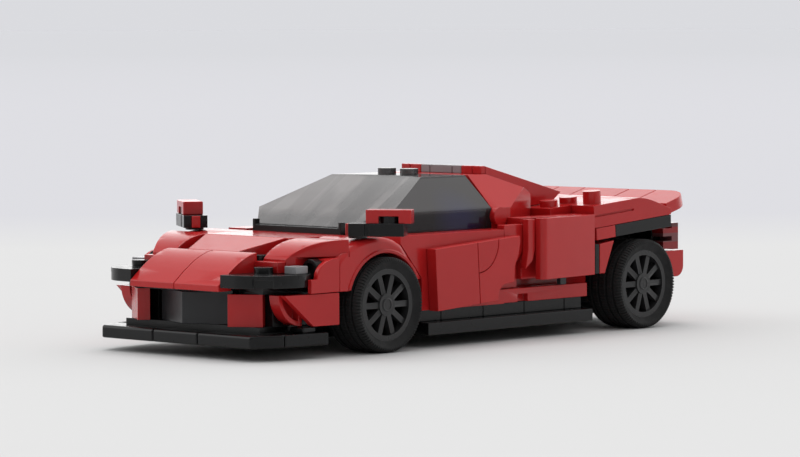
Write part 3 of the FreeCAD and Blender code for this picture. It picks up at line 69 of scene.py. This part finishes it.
class Shader:
    """The node tree of a material or the world, with short calls to add and join its nodes."""

    def __init__(self, owner, output="ShaderNodeOutputMaterial", coordinates="Object"):
        owner.use_nodes = True
        self.owner = owner
        self.tree = owner.node_tree
        self.tree.nodes.clear()
        self.output = self.add(output)
        self.place = self.add("ShaderNodeTexCoord").outputs[coordinates]

    def add(self, kind, **values):
        node = self.tree.nodes.new(kind)
        for key, value in values.items():
            setattr(node, key, value)
        return node

    def join(self, source, target):
        self.tree.links.new(source, target)

    def feed(self, target, value):
        """Joins another node's output to an input, or sets the input to a number, place or colour."""
        if isinstance(value, bpy.types.NodeSocket):
            self.join(value, target)
        elif target.type == "RGBA":
            target.default_value = (*value, 1.0)
        else:
            target.default_value = value

    def maths(self, operation, *values, clamp=False):
        node = self.add("ShaderNodeMath", operation=operation, use_clamp=clamp)
        for target, value in zip(node.inputs, values):
            self.feed(target, value)
        return node.outputs[0]

    def vector_maths(self, operation, first, second):
        """The number that comes of two places or directions."""
        node = self.add("ShaderNodeVectorMath", operation=operation)
        self.feed(node.inputs[0], first)
        self.feed(node.inputs[1], second)
        return node.outputs["Value"]

    def split(self, source):
        """The X, Y and Z of a place or direction."""
        node = self.add("ShaderNodeSeparateXYZ")
        self.join(source, node.inputs["Vector"])
        return node.outputs

    def noise(self, scale, detail=3.0, rough=0.55, place=None):
        node = self.add("ShaderNodeTexNoise")
        self.join(self.place if place is None else place, node.inputs["Vector"])
        node.inputs["Scale"].default_value = scale
        node.inputs["Detail"].default_value = detail
        node.inputs["Roughness"].default_value = rough
        return node.outputs["Fac"]

    def streaks(self, turn, across, along):
        """Noise drawn out into lines that run up the windscreen, turned a little about the upright, for
        painted reflection streaks.
        """
        mapping = self.add("ShaderNodeMapping", vector_type="TEXTURE")
        self.join(self.place, mapping.inputs["Vector"])
        mapping.inputs["Rotation"].default_value = (0.0, 0.0, turn)
        mapping.inputs["Scale"].default_value = (1.0 / across, 1.0 / along, 1.0 / along)
        return self.noise(scale=1.0, detail=1.0, rough=0.5, place=mapping.outputs["Vector"])

    def spread(self, source, result=RISING, span=NOISE_SPAN, smooth=False):
        """Takes a value that runs over a span to a result that runs from one number to another."""
        node = self.add("ShaderNodeMapRange")
        if smooth:
            node.interpolation_type = "SMOOTHSTEP"
        self.join(source, node.inputs["Value"])
        node.inputs["From Min"].default_value, node.inputs["From Max"].default_value = span
        node.inputs["To Min"].default_value, node.inputs["To Max"].default_value = result
        return node.outputs["Result"]

    def blend(self, factor, first, second, kind="Color"):
        """From the first colour to the second, as the factor rises. The kind Float blends numbers."""
        node = self.add("ShaderNodeMix", data_type="RGBA" if kind == "Color" else "FLOAT")
        sockets = {socket.identifier: socket for socket in (*node.inputs, *node.outputs)}
        self.join(factor, sockets["Factor_Float"])
        self.feed(sockets["A_" + kind], first)
        self.feed(sockets["B_" + kind], second)
        return sockets["Result_" + kind]

    def island(self):
        return self.add("ShaderNodeNewGeometry").outputs["Random Per Island"]

    def edges(self, radius):
        """0 on a flat and up to 1 along an edge, where the rounded and the plain direction differ."""
        bevel = self.add("ShaderNodeBevel", samples=BEVEL_SAMPLES)
        bevel.inputs["Radius"].default_value = radius
        plain = self.add("ShaderNodeNewGeometry")
        alike = self.vector_maths("DOT_PRODUCT", bevel.outputs["Normal"], plain.outputs["Normal"])
        return self.spread(alike, FALLING, EDGE_LIKENESS)

    def bump(self, source, distance, strength, normal=None):
        node = self.add("ShaderNodeBump")
        self.join(source, node.inputs["Height"])
        node.inputs["Distance"].default_value = distance
        node.inputs["Strength"].default_value = strength
        if normal is not None:
            self.join(normal, node.inputs["Normal"])
        return node.outputs["Normal"]

    def plastic(self, colour, roughness, normal=None, **values):
        shader = self.add("ShaderNodeBsdfPrincipled")
        self.join(colour, shader.inputs["Base Color"])
        self.join(roughness, shader.inputs["Roughness"])
        if normal is not None:
            self.join(normal, shader.inputs["Normal"])
        for key, value in values.items():
            shader.inputs[key.replace("_", " ")].default_value = value
        return shader.outputs["BSDF"]

    def matt(self, colour):
        node = self.add("ShaderNodeBsdfDiffuse")
        self.feed(node.inputs["Color"], colour)
        return node.outputs["BSDF"]

    def glow(self, colour, strength=1.0):
        node = self.add("ShaderNodeBackground")
        self.feed(node.inputs["Color"], colour)
        self.feed(node.inputs["Strength"], strength)
        return node.outputs["Background"]

    def mixed(self, share, first, second):
        """The first surface, with a share of the second."""
        node = self.add("ShaderNodeMixShader")
        for target, value in zip(node.inputs, (share, first, second)):
            self.join(value, target)
        return node.outputs["Shader"]

    def finish(self, surface):
        self.join(surface, self.output.inputs["Surface"])
        return self.owner


# Materials

# How far in from an edge the painted edge highlight reaches, and how much of the shade goes by the piece and
# by clouds of noise.
EDGE_HIGHLIGHT_REACH = 0.22 * MM
PIECE_SHARE = 0.55
CLOUD_SHARE = 0.45

# Width of the soft border of the painted recess shade and of a band, and how much of a band's shade shows.
RECESS_SHADE_BORDER = 0.3 * MM
BAND_BORDER = 0.2 * MM
BAND_SHARES = (0.9, 0.0)


def moulded(name, dark, light, edge_highlight, rough, edge_highlight_share=0.35, specular=0.32, inner=None, bands=()):
    """Moulded plastic: shade differs a little from brick to brick, fine grain, edges painted paler as
    highlights.

    inner is a place across the car and the painted shade of the recess further in than it.
    bands are heights and the shade below each.
    """
    made = Shader(bpy.data.materials.new(name))
    place = made.split(made.place)
    clouds = made.spread(made.noise(scale=90.0))
    per_piece = made.spread(made.island(), span=(0.0, 1.0))
    shade = made.maths("MULTIPLY_ADD", per_piece, PIECE_SHARE, made.maths("MULTIPLY", clouds, CLOUD_SHARE))
    colour = made.blend(shade, dark, light)
    # Paler colour along the edges is a painted highlight.
    colour = made.blend(made.maths("MULTIPLY", made.edges(EDGE_HIGHLIGHT_REACH), edge_highlight_share), colour, edge_highlight)
    # Further in than the border, a painted shade darkens the recess.
    if inner is not None:
        border, painted_recess_shade = inner
        width = made.maths("ABSOLUTE", place["X"])
        in_recess = made.spread(width, FALLING, span=(border - RECESS_SHADE_BORDER, border))
        colour = made.blend(in_recess, colour, painted_recess_shade)
    for height, band_shade in bands:
        below = made.spread(place["Z"], BAND_SHARES, span=(height, height + BAND_BORDER))
        colour = made.blend(below, colour, band_shade)
    roughness = made.spread(made.noise(scale=420.0, detail=4.0), rough)
    grain = made.bump(made.noise(scale=2600.0, detail=2.0), distance=0.004 * MM, strength=0.6)
    waves = made.bump(made.noise(scale=70.0, detail=1.0), distance=0.03 * MM, strength=0.35, normal=grain)
    return made.finish(made.plastic(colour, roughness, waves, Specular_IOR_Level=specular))


RUBBER_SHADES = ((0.013, 0.013, 0.0135), (0.022, 0.022, 0.0225))
# Paler colour along the tyre's edges, how much of it shows and how far in it reaches: a painted edge
# highlight.
RUBBER_EDGE_HIGHLIGHT = (0.045, 0.045, 0.045)
RUBBER_HIGHLIGHT_SHARE = 0.5
RUBBER_ROUGHNESS = (0.58, 0.74)
RUBBER_HIGHLIGHT_REACH = 0.3 * MM


def rubber(name):
    """Dull black rubber with a coarse grain and a painted highlight along its edges."""
    made = Shader(bpy.data.materials.new(name))
    clouds = made.spread(made.noise(scale=260.0, detail=4.0))
    # Paler along the edges: a painted highlight.
    rubber_highlight = made.maths("MULTIPLY", made.edges(RUBBER_HIGHLIGHT_REACH), RUBBER_HIGHLIGHT_SHARE)
    colour = made.blend(rubber_highlight, made.blend(clouds, *RUBBER_SHADES), RUBBER_EDGE_HIGHLIGHT)
    roughness = made.spread(made.noise(scale=700.0), RUBBER_ROUGHNESS)
    grain = made.bump(made.noise(scale=1800.0), distance=0.01 * MM, strength=0.8)
    return made.finish(made.plastic(colour, roughness, grain, Specular_IOR_Level=0.22))


# Canopy

GLASS_SHADES = ((0.055, 0.055, 0.06), (0.08, 0.08, 0.085))
GLASS_ROUGHNESS = (0.03, 0.08)
# Colour of the painted reflections on the windscreen.
PAINTED_REFLECTION_SHADES = ((0.46, 0.428, 0.424), (0.555, 0.53, 0.525))
# Painted shade along the canopy's edges, a dark outline.
PAINTED_EDGE_SHADES = ((0.03, 0.03, 0.032), (0.05, 0.05, 0.052))
# Painted shade over the roof.
ROOF_PAINTED_SHADE = (0.075, 0.062, 0.062)

# The canopy side's painted colours, above the sill and along it: pale painted reflection above, painted
# shade along the sill, in grey and, within a painted reflection, in blue.
SIDE_PAINTED_GREYS = ((0.285, 0.272, 0.272), (0.030, 0.029, 0.033))
SIDE_PAINTED_BLUES = ((0.270, 0.268, 0.345), (0.050, 0.052, 0.210))

# One shade passes into the next between the two values of each pair.
canopy_low, canopy_high = box_of("canopy")
canopy_side, canopy_rear, canopy_foot = canopy_high[0], canopy_high[1], canopy_low[2]
SILL_HEIGHTS = (canopy_foot + 4.2 * MM, canopy_foot + 5.8 * MM)
ROOF_HEIGHTS = (canopy_foot + 13.0 * MM, canopy_foot + 13.8 * MM)
FOOT_HEIGHTS = (canopy_foot + 3.7 * MM, canopy_foot + 5.4 * MM)
# Middle and reaches of the painted blue reflection on the canopy's side.
BLUE_REFLECTION_MIDDLE = (canopy_side - 0.9 * MM, canopy_rear - 12.3 * MM, canopy_foot + 2.7 * MM)
BLUE_REFLECTION_REACHES = (10.0 * MM, 3.0 * MM)
FRONT_FACING = (-0.40, -0.10)
# How far in from an edge the canopy's painted dark outline reaches.
CANOPY_EDGE_SHADE_REACH = 0.4 * MM

# How much of the painted shade or painted reflection shows at each place.
SIDE_SHARE = 0.26
ROOF_SHARE = 0.16
EDGE_SHADE_SHARE = 0.55
FOOT_SHARES = (0.45, 1.0)
FINE_SHARE = 0.07
FINE_SPAN = (0.48, 0.54)
BROAD_SHARES = (0.20, 0.36)
BROAD_SPAN = (0.45, 0.54)

# Bands of painted reflection across the windscreen, which lean with its height.
# Each is millimetres from the middle of their span, and the share of painted reflection there.
BAND_LEAN = 0.664
BAND_SPAN = (-3.4 * MM, 44.6 * MM)
BANDS = ((0.0, 0.90), (8.8, 0.92), (9.8, 0.66), (16.4, 0.66), (17.4, 1.0), (19.4, 1.0), (20.2, 0.42))


def canopy_side_painted_light(made, place, roof):
    """Painted light on the canopy's sides: painted shade along the sill, a painted blue reflection, and
    painted shade on the roof.
    """
    sill = made.spread(place["Z"], FALLING, SILL_HEIGHTS)
    folded = made.add("ShaderNodeCombineXYZ")
    made.join(made.maths("ABSOLUTE", place["X"]), folded.inputs["X"])
    made.join(place["Y"], folded.inputs["Y"])
    made.join(place["Z"], folded.inputs["Z"])
    reach = made.vector_maths("DISTANCE", folded.outputs["Vector"], BLUE_REFLECTION_MIDDLE)
    blue_reflection = made.spread(reach, RISING, BLUE_REFLECTION_REACHES)
    grey = made.blend(sill, *SIDE_PAINTED_GREYS)
    blue = made.blend(sill, *SIDE_PAINTED_BLUES)
    return made.blend(roof, made.blend(blue_reflection, grey, blue), ROOF_PAINTED_SHADE)


def windscreen_bands(made, place):
    """Share of painted reflection in each of the leaning bands across the windscreen."""
    leaning = made.maths("MULTIPLY_ADD", place["Z"], BAND_LEAN, place["X"])
    across = made.add("ShaderNodeValToRGB")
    made.join(made.spread(leaning, RISING, BAND_SPAN), across.inputs["Fac"])
    stops = across.color_ramp.elements
    span_width = (BAND_SPAN[1] - BAND_SPAN[0]) / MM
    for index, (x, share) in enumerate(BANDS):
        at = 0.5 + x / span_width
        stop = stops[index] if index < 2 else stops.new(at)
        stop.position = at
        stop.color = (share, share, share, 1.0)
    return across.outputs["Color"]


def windscreen_painted_reflection(made, place, front):
    """Share of painted reflection on the windscreen: streaks that run up it, in bands, fainter at its foot.
    """
    fine = made.spread(made.streaks(turn=0.30, across=230.0, along=18.0), RISING, FINE_SPAN)
    broad = made.spread(made.streaks(turn=0.45, across=80.0, along=26.0), BROAD_SHARES, BROAD_SPAN)
    reflection_streaks = made.maths("MULTIPLY_ADD", fine, FINE_SHARE, broad)
    foot = made.maths("MULTIPLY", front, made.spread(place["Z"], FOOT_SHARES, FOOT_HEIGHTS))
    placed = made.maths("MULTIPLY", windscreen_bands(made, place), foot)
    return made.maths("MULTIPLY", reflection_streaks, placed)


def smoked(name):
    """Dark see-through plastic of the canopy, with painted reflections and painted shade mixed in as matt
    colours.
    """
    made = Shader(bpy.data.materials.new(name))
    place = made.split(made.place)
    facing = made.split(made.add("ShaderNodeNewGeometry").outputs["True Normal"])
    front = made.spread(facing["Y"], FALLING, FRONT_FACING)
    roof = made.spread(place["Z"], RISING, ROOF_HEIGHTS)
    clouds = made.spread(made.noise(scale=60.0, detail=2.0))
    colour = made.blend(clouds, *GLASS_SHADES)
    roughness = made.spread(made.noise(scale=300.0), GLASS_ROUGHNESS)
    waves = made.bump(made.noise(scale=50.0, detail=1.0), distance=0.03 * MM, strength=0.3)
    clear = made.plastic(colour, roughness, waves, Transmission_Weight=0.82, IOR=1.34)
    # On the sides, a matt colour is mixed in as painted reflection and painted shade.
    side = made.maths("SUBTRACT", SIDE_SHARE, front, clamp=True)
    side_painted = made.mixed(side, clear, made.matt(canopy_side_painted_light(made, place, roof)))
    # On the windscreen, a matt colour is mixed in as painted reflection streaks.
    reflection_colour = made.matt(made.blend(clouds, *PAINTED_REFLECTION_SHADES))
    with_reflections = made.mixed(windscreen_painted_reflection(made, place, front), side_painted, reflection_colour)
    # Along the edges and over the roof, a dark matt colour is mixed in as painted shade.
    rim = made.maths("MULTIPLY", made.edges(CANOPY_EDGE_SHADE_REACH), EDGE_SHADE_SHARE)
    top = made.maths("MULTIPLY_ADD", roof, ROOF_SHARE, rim, clamp=True)
    edge = made.matt(made.blend(clouds, *PAINTED_EDGE_SHADES))
    return made.finish(made.mixed(top, with_reflections, edge))


# Finishes by slot

# A rim's recess, further in than this place across the car, gets a painted shade.
rim_face = box_of("rim_front_left")[1][0]
RIM_RECESS_PAINTED_SHADE = (rim_face - 2.1 * MM, (0.006, 0.006, 0.006))

# The tail lamps take each shade below its height.
lamp_top = box_of("tail_lamps")[1][2]
LAMP_BANDS = (
    (lamp_top - 1.2 * MM, (0.30, 0.010, 0.012)),
    (lamp_top - 2.8 * MM, (0.17, 0.060, 0.064)),
    (lamp_top - 5.2 * MM, (0.27, 0.012, 0.014)),
)

# Each finish's paler edge colour, and how much of it shows, is a painted edge highlight.
materials = {
    "red_plastic": moulded(
        "red_abs", dark=(0.44, 0.013, 0.014), light=(0.51, 0.018, 0.019), edge_highlight=(0.62, 0.06, 0.06),
        rough=(0.14, 0.24)
    ),
    "black_plastic": moulded(
        "black_abs", dark=(0.004, 0.004, 0.0044), light=(0.008, 0.008, 0.0088), edge_highlight=(0.085, 0.085, 0.085),
        rough=(0.16, 0.28), edge_highlight_share=0.5, specular=0.26
    ),
    "rim_plastic": moulded(
        "rim_abs", dark=(0.020, 0.020, 0.021), light=(0.028, 0.028, 0.029), edge_highlight=(0.12, 0.12, 0.12),
        rough=(0.26, 0.38), inner=RIM_RECESS_PAINTED_SHADE
    ),
    "dark_grey_plastic": moulded(
        "dark_grey_abs", dark=(0.022, 0.023, 0.025), light=(0.032, 0.033, 0.036), edge_highlight=(0.11, 0.11, 0.11),
        rough=(0.30, 0.42)
    ),
    "grey_plastic": moulded(
        "grey_abs", dark=(0.24, 0.24, 0.25), light=(0.31, 0.31, 0.32), edge_highlight=(0.52, 0.52, 0.52),
        rough=(0.18, 0.30)
    ),
    "lamp_plastic": moulded(
        "lamp_abs", dark=(0.10, 0.030, 0.032), light=(0.13, 0.040, 0.042), edge_highlight=(0.42, 0.16, 0.16),
        rough=(0.10, 0.18), bands=LAMP_BANDS
    ),
    "tyre_rubber": rubber("tyre_rubber_grain"),
    "dark_clear_plastic": smoked("smoked_clear"),
}


# Pieces with the node's own form

SAME_PLACE = 0.002 * MM
FLAT_ANGLE = math.radians(0.6)
EDGE_ANGLE = math.radians(34.0)
EDGE_SEGMENTS = 2
EDGE_WIDTH = 0.18 * MM
EDGE_WIDTH_OF_KIND = {"rim": 0.12 * MM, "splitter": 0.55 * MM}


def linked(name, mesh, node, sharp_angle):
    """Object of a mesh, in the node's finish and smooth but for its sharp edges."""
    piece = bpy.data.objects.new(name, mesh)
    bpy.context.scene.collection.objects.link(piece)
    mesh.materials.clear()
    mesh.materials.append(materials[slot_of_node[node]])
    for face in mesh.polygons:
        face.use_smooth = True
    mesh.set_sharp_from_angle(angle=sharp_angle)
    return piece


def tidy_mesh(source, name):
    """A copy of a node's mesh with its flats joined up, ready to have its edges rounded."""
    mesh = source.data.copy()
    mesh.name = name
    work = bmesh.new()
    work.from_mesh(mesh)
    bmesh.ops.remove_doubles(work, verts=work.verts, dist=SAME_PLACE)
    bmesh.ops.dissolve_limit(
        work, angle_limit=FLAT_ANGLE, use_dissolve_boundaries=False, verts=work.verts, edges=work.edges
    )
    bmesh.ops.recalc_face_normals(work, faces=work.faces)
    work.to_mesh(mesh)
    work.free()
    return mesh


def dressed(node):
    """The node's own form with softly rounded edges and its finish."""
    name = node + "_moulded"
    piece = linked(name, tidy_mesh(nodes[node], name), node, EDGE_ANGLE)
    bevel = piece.modifiers.new("edges", "BEVEL")
    bevel.width = EDGE_WIDTH_OF_KIND.get(node.split("_")[0], EDGE_WIDTH)
    bevel.segments = EDGE_SEGMENTS
    bevel.limit_method = "ANGLE"
    bevel.angle_limit = EDGE_ANGLE
    bevel.use_clamp_overlap = True
    bevel.harden_normals = True
    bevel.miter_outer = "MITER_ARC"
    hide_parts(node)
    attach(piece, body_of_node[node])


# Pieces carried round from a section

SHARP_ANGLE = math.radians(30.0)


def swept_faces(count, sections, closed):
    """Faces between neighbouring sections of count points each. A closed sweep meets its own start."""
    faces = []
    for section in range(sections if closed else sections - 1):
        after = (section + 1) % sections
        for row in range(count):
            below = (row + 1) % count
            faces.append((
                section * count + row, section * count + below, after * count + below, after * count + row
            ))
    return faces


def round_axle(middle, x, radius, angle):
    """Point at a radius and angle round a wheel's axle, x across from the middle."""
    return (middle[0] + x, middle[1] + radius * math.cos(angle), middle[2] + radius * math.sin(angle))


def swept_piece(name, points, faces, node):
    """Object of the given points and faces, its normals turned outwards, in the node's finish."""
    mesh = bpy.data.meshes.new(name)
    mesh.from_pydata(points, [], faces)
    work = bmesh.new()
    work.from_mesh(mesh)
    bmesh.ops.recalc_face_normals(work, faces=work.faces)
    work.to_mesh(mesh)
    work.free()
    return linked(name, mesh, node, SHARP_ANGLE)


# The tread is one block after another, each of a few columns, two of which are its notch.
TREAD_BLOCKS = 88
BLOCK_COLUMNS = 6
SHOULDER_NOTCH = (3, 4)
MIDDLE_NOTCH = (0, 1)

# Rows of the tyre's section from a bead to the middle of the tread, in mm:
# in from the face, down from the tread, depth of the notch, columns of the notch.
GROOVE_DEPTH = 1.05
TYRE_ROWS = (
    (1.15, 2.96, 0.0, SHOULDER_NOTCH),
    (1.0, 2.6, 0.0, SHOULDER_NOTCH),
    (0.7, 2.1, 0.0, SHOULDER_NOTCH),
    (0.35, 1.55, 0.0, SHOULDER_NOTCH),
    (0.08, 1.15, 0.1, SHOULDER_NOTCH),
    (0.0, 0.85, 0.4, SHOULDER_NOTCH),
    (0.12, 0.58, 0.52, SHOULDER_NOTCH),
    (0.45, 0.25, 0.46, SHOULDER_NOTCH),
    (1.0, 0.07, 0.26, SHOULDER_NOTCH),
    (1.5, 0.02, 0.14, SHOULDER_NOTCH),
    (1.9, 0.02, 0.1, SHOULDER_NOTCH),
    (2.0, GROOVE_DEPTH, 0.0, SHOULDER_NOTCH),
    (2.65, GROOVE_DEPTH, 0.0, MIDDLE_NOTCH),
    (2.75, 0.02, 0.12, MIDDLE_NOTCH),
    (4.25, 0.0, 0.12, MIDDLE_NOTCH),
    (4.35, GROOVE_DEPTH, 0.0, MIDDLE_NOTCH),
    (5.0, GROOVE_DEPTH, 0.0, MIDDLE_NOTCH),
    (5.1, 0.0, 0.12, MIDDLE_NOTCH),
)


def tyre_rows(half, radius):
    """Rows round the tyre's section from one bead to the other: place across, radius, radius in a notch."""
    outer = []
    for inset, drop, notch, columns in TYRE_ROWS:
        reach = radius - drop * MM
        outer.append((half - inset * MM, reach, reach - notch * MM, columns))
    inner = [(-x, *others) for x, *others in reversed(outer)]
    return outer + inner


def treaded_tyre(node):
    """Tyre with four grooves round its tread, and notches between small blocks on it and its shoulders.

    It stands on the floor, so its radius is half the height of its top.
    """
    low, high = box_of(node)
    middle = [(a + b) / 2 for a, b in zip(low, high)]
    rows = tyre_rows(half=(high[0] - low[0]) / 2, radius=high[2] / 2)
    columns = TREAD_BLOCKS * BLOCK_COLUMNS
    points = []
    for column in range(columns):
        angle = math.tau * column / columns
        for x, radius, notch_radius, notch_columns in rows:
            reach = notch_radius if column % BLOCK_COLUMNS in notch_columns else radius
            points.append(round_axle(middle, x, reach, angle))
    piece = swept_piece(node + "_treaded", points, swept_faces(len(rows), columns, closed=True), node)
    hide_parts(node)
    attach(piece, body_of_node[node])


# How far the hub's face lies in from the rim's, and the ring's section, in mm: radius, height over the face.
HUB_INSET = 0.1
HUB_RING_STEPS = 48
HUB_RING_SECTION = ((1.75, -0.05), (1.75, 0.1), (1.62, 0.16), (1.38, 0.16), (1.25, 0.08), (1.25, -0.05))


def hub_ring(node):
    """Low round step on the bare face of a hub."""
    low, high = box_of(node)
    side = 1.0 if low[0] + high[0] > 0 else -1.0
    face = (high[0] if side > 0 else low[0]) - side * HUB_INSET * MM
    hub = (face, (low[1] + high[1]) / 2, (low[2] + high[2]) / 2)
    points = []
    for step in range(HUB_RING_STEPS):
        angle = math.tau * step / HUB_RING_STEPS
        for radius, out in HUB_RING_SECTION:
            points.append(round_axle(hub, side * out * MM, radius * MM, angle))
    faces = swept_faces(len(HUB_RING_SECTION), HUB_RING_STEPS, closed=True)
    piece = swept_piece(node + "_hub_ring", points, faces, node)
    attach(piece, body_of_node[node])


# Sizes of the arch lip, in mm. The clearance is the one to the tyre.
LIP_CLEARANCE = 0.95
LIP_WIDTH = 0.95
LIP_HEIGHT = 0.3
LIP_SOFT = 0.12
LIP_REAR_RISE = 2.2
LIP_STEPS = 64


def arch_lip(side):
    """Narrow raised lip along the edge of a front wheel arch, from its front foot to its rear one."""
    tyre_low, tyre_high = box_of("tyre_front_left")
    arch_low, arch_high = box_of("front_arches")
    axle = (0.0, (tyre_low[1] + tyre_high[1]) / 2, (tyre_low[2] + tyre_high[2]) / 2)
    inner = (tyre_high[2] - tyre_low[2]) / 2 + LIP_CLEARANCE * MM
    outer = inner + LIP_WIDTH * MM
    soft = LIP_SOFT * MM
    face = arch_high[0]
    top = face + LIP_HEIGHT * MM
    section = [
        (inner, face - soft), (inner, top - soft), (inner + soft, top),
        (outer - 2 * soft, top), (outer, face + soft), (outer, face - soft),
    ]
    foot = arch_low[2] - axle[2]
    start = math.pi - math.asin((foot + soft) / inner)
    end = math.asin((foot + LIP_REAR_RISE * MM) / inner)
    points = []
    for step in range(LIP_STEPS + 1):
        angle = start + (end - start) * step / LIP_STEPS
        for radius, out in section:
            points.append(round_axle(axle, side * out, radius, angle))
    count = len(section)
    ends = [tuple(range(count)), tuple(LIP_STEPS * count + row for row in range(count))]
    faces = ends + swept_faces(count, LIP_STEPS + 1, closed=False)
    name = "front_arch_lip_" + ("left" if side > 0 else "right")
    piece = swept_piece(name, points, faces, "front_arches")
    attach(piece, body_of_node["front_arches"])


for side in (1, -1):
    arch_lip(side)

for node in sorted(nodes):
    if node.startswith("rim_"):
        hub_ring(node)
    if node.startswith("tyre_"):
        treaded_tyre(node)
    else:
        dressed(node)


# Floor

VIEW_YAW = math.radians(46.653)
AWAY = Vector((-math.cos(VIEW_YAW), math.sin(VIEW_YAW), 0.0))
FLOOR_REACH = 60.0
FLOOR_SHADES = ((0.615, 0.615, 0.615), (0.624, 0.624, 0.624))
FLOOR_MIDDLE_SHADE = (0.570, 0.570, 0.598)
FLOOR_MIDDLE_SPAN = (0.38, 0.62)
FLOOR_FAR_SHADE = (0.545, 0.549, 0.572)
FLOOR_FAR_SPAN = (2.6, 9.0)
FLOOR_ROUGHNESS = (0.8, 0.95)


def floor_material():
    """Pale studio paper. It turns a little bluer and darker far behind the car, as the backdrop."""
    made = Shader(bpy.data.materials.new("floor_paper"))
    shade = made.blend(made.spread(made.noise(scale=3.0)), *FLOOR_SHADES)
    distance = made.vector_maths("DOT_PRODUCT", made.place, tuple(AWAY))
    shade = made.blend(made.spread(distance, RISING, FLOOR_MIDDLE_SPAN), shade, FLOOR_MIDDLE_SHADE)
    shade = made.blend(made.spread(distance, RISING, FLOOR_FAR_SPAN), shade, FLOOR_FAR_SHADE)
    roughness = made.spread(made.noise(scale=40.0), FLOOR_ROUGHNESS)
    return made.finish(made.plastic(shade, roughness, Specular_IOR_Level=0.0))


def studio_floor():
    """A plain floor that reaches far past the picture."""
    mesh = bpy.data.meshes.new("studio_floor")
    signs = ((-1, -1), (1, -1), (1, 1), (-1, 1))
    corners = [(x * FLOOR_REACH, y * FLOOR_REACH, 0) for x, y in signs]
    mesh.from_pydata(corners, [], [(0, 1, 2, 3)])
    floor = bpy.data.objects.new("studio_floor", mesh)
    bpy.context.scene.collection.objects.link(floor)
    mesh.materials.append(floor_material())


studio_floor()


# Light

# From the camera's side to the far one, and from the horizon to the top.
SIDE_LIGHTS = (0.12, 1.85)
SIDE_SPAN = (-0.5, 0.6)
TOP_LIGHT = 0.78
TOP_SPAN = (0.05, 0.85)
WHITE = (1.0, 1.0, 1.0)
BACKDROP = (0.705, 0.71, 0.74)


def studio_world():
    """Bright above and behind the car, darker on the camera's side. The camera sees a plain backdrop."""
    world = bpy.data.worlds.new("studio_world")
    bpy.context.scene.world = world
    made = Shader(world, "ShaderNodeOutputWorld", "Generated")
    behind = made.vector_maths("DOT_PRODUCT", made.place, tuple(AWAY))
    side = made.spread(behind, SIDE_LIGHTS, SIDE_SPAN)
    height = made.spread(made.split(made.place)["Z"], RISING, TOP_SPAN, smooth=True)
    lit = made.glow(WHITE, made.blend(height, side, TOP_LIGHT, kind="Float"))
    seen = made.glow(BACKDROP)
    path = made.add("ShaderNodeLightPath")
    made.finish(made.mixed(path.outputs["Is Camera Ray"], lit, seen))


def sun(name, direction, strength, angle):
    """Very soft light from a direction given as a vector towards the light."""
    light = bpy.data.lights.new(name, "SUN")
    light.energy = strength
    light.angle = math.radians(angle)
    holder = bpy.data.objects.new(name, light)
    bpy.context.scene.collection.objects.link(holder)
    holder.rotation_mode = "QUATERNION"
    holder.rotation_quaternion = (-Vector(direction)).to_track_quat("-Z", "Y")


studio_world()
sun("overhead_softbox", direction=(-0.20, 0.22, 1.0), strength=1.36, angle=42.0)
sun("front_softbox", direction=(-0.80, -0.62, 0.62), strength=0.34, angle=40.0)


# Camera

VIEW_PITCH = math.radians(-3.172)
VIEW_ROLL = math.radians(-0.18)
CAMERA_PLACE = Vector((666.38, -707.98, 82.01)) * MM
FOCAL_PIXELS = 3700.6
PHOTO_WIDTH = 800.0
SENSOR_WIDTH = 36.0
CLIP_NEAR = 0.05
CLIP_FAR = 50.0


def photo_camera():
    """The camera as fitted to the photograph's edges."""
    level = math.cos(VIEW_PITCH)
    forward = Vector((-math.cos(VIEW_YAW) * level, math.sin(VIEW_YAW) * level, math.sin(VIEW_PITCH)))
    right = forward.cross(Vector((0, 0, 1))).normalized()
    up = right.cross(forward)
    turned_right = math.cos(VIEW_ROLL) * right + math.sin(VIEW_ROLL) * up
    turned_up = math.cos(VIEW_ROLL) * up - math.sin(VIEW_ROLL) * right
    lens = bpy.data.cameras.new("camera")
    lens.sensor_width = SENSOR_WIDTH
    lens.lens = FOCAL_PIXELS * SENSOR_WIDTH / PHOTO_WIDTH
    lens.clip_start = CLIP_NEAR
    lens.clip_end = CLIP_FAR
    camera = bpy.data.objects.new("camera", lens)
    bpy.context.scene.collection.objects.link(camera)
    turn = Matrix((turned_right, turned_up, -forward)).transposed()
    camera.matrix_world = Matrix.Translation(CAMERA_PLACE) @ turn.to_4x4()
    bpy.context.scene.camera = camera


photo_camera()
bpy.context.scene.view_settings.view_transform = "Standard"
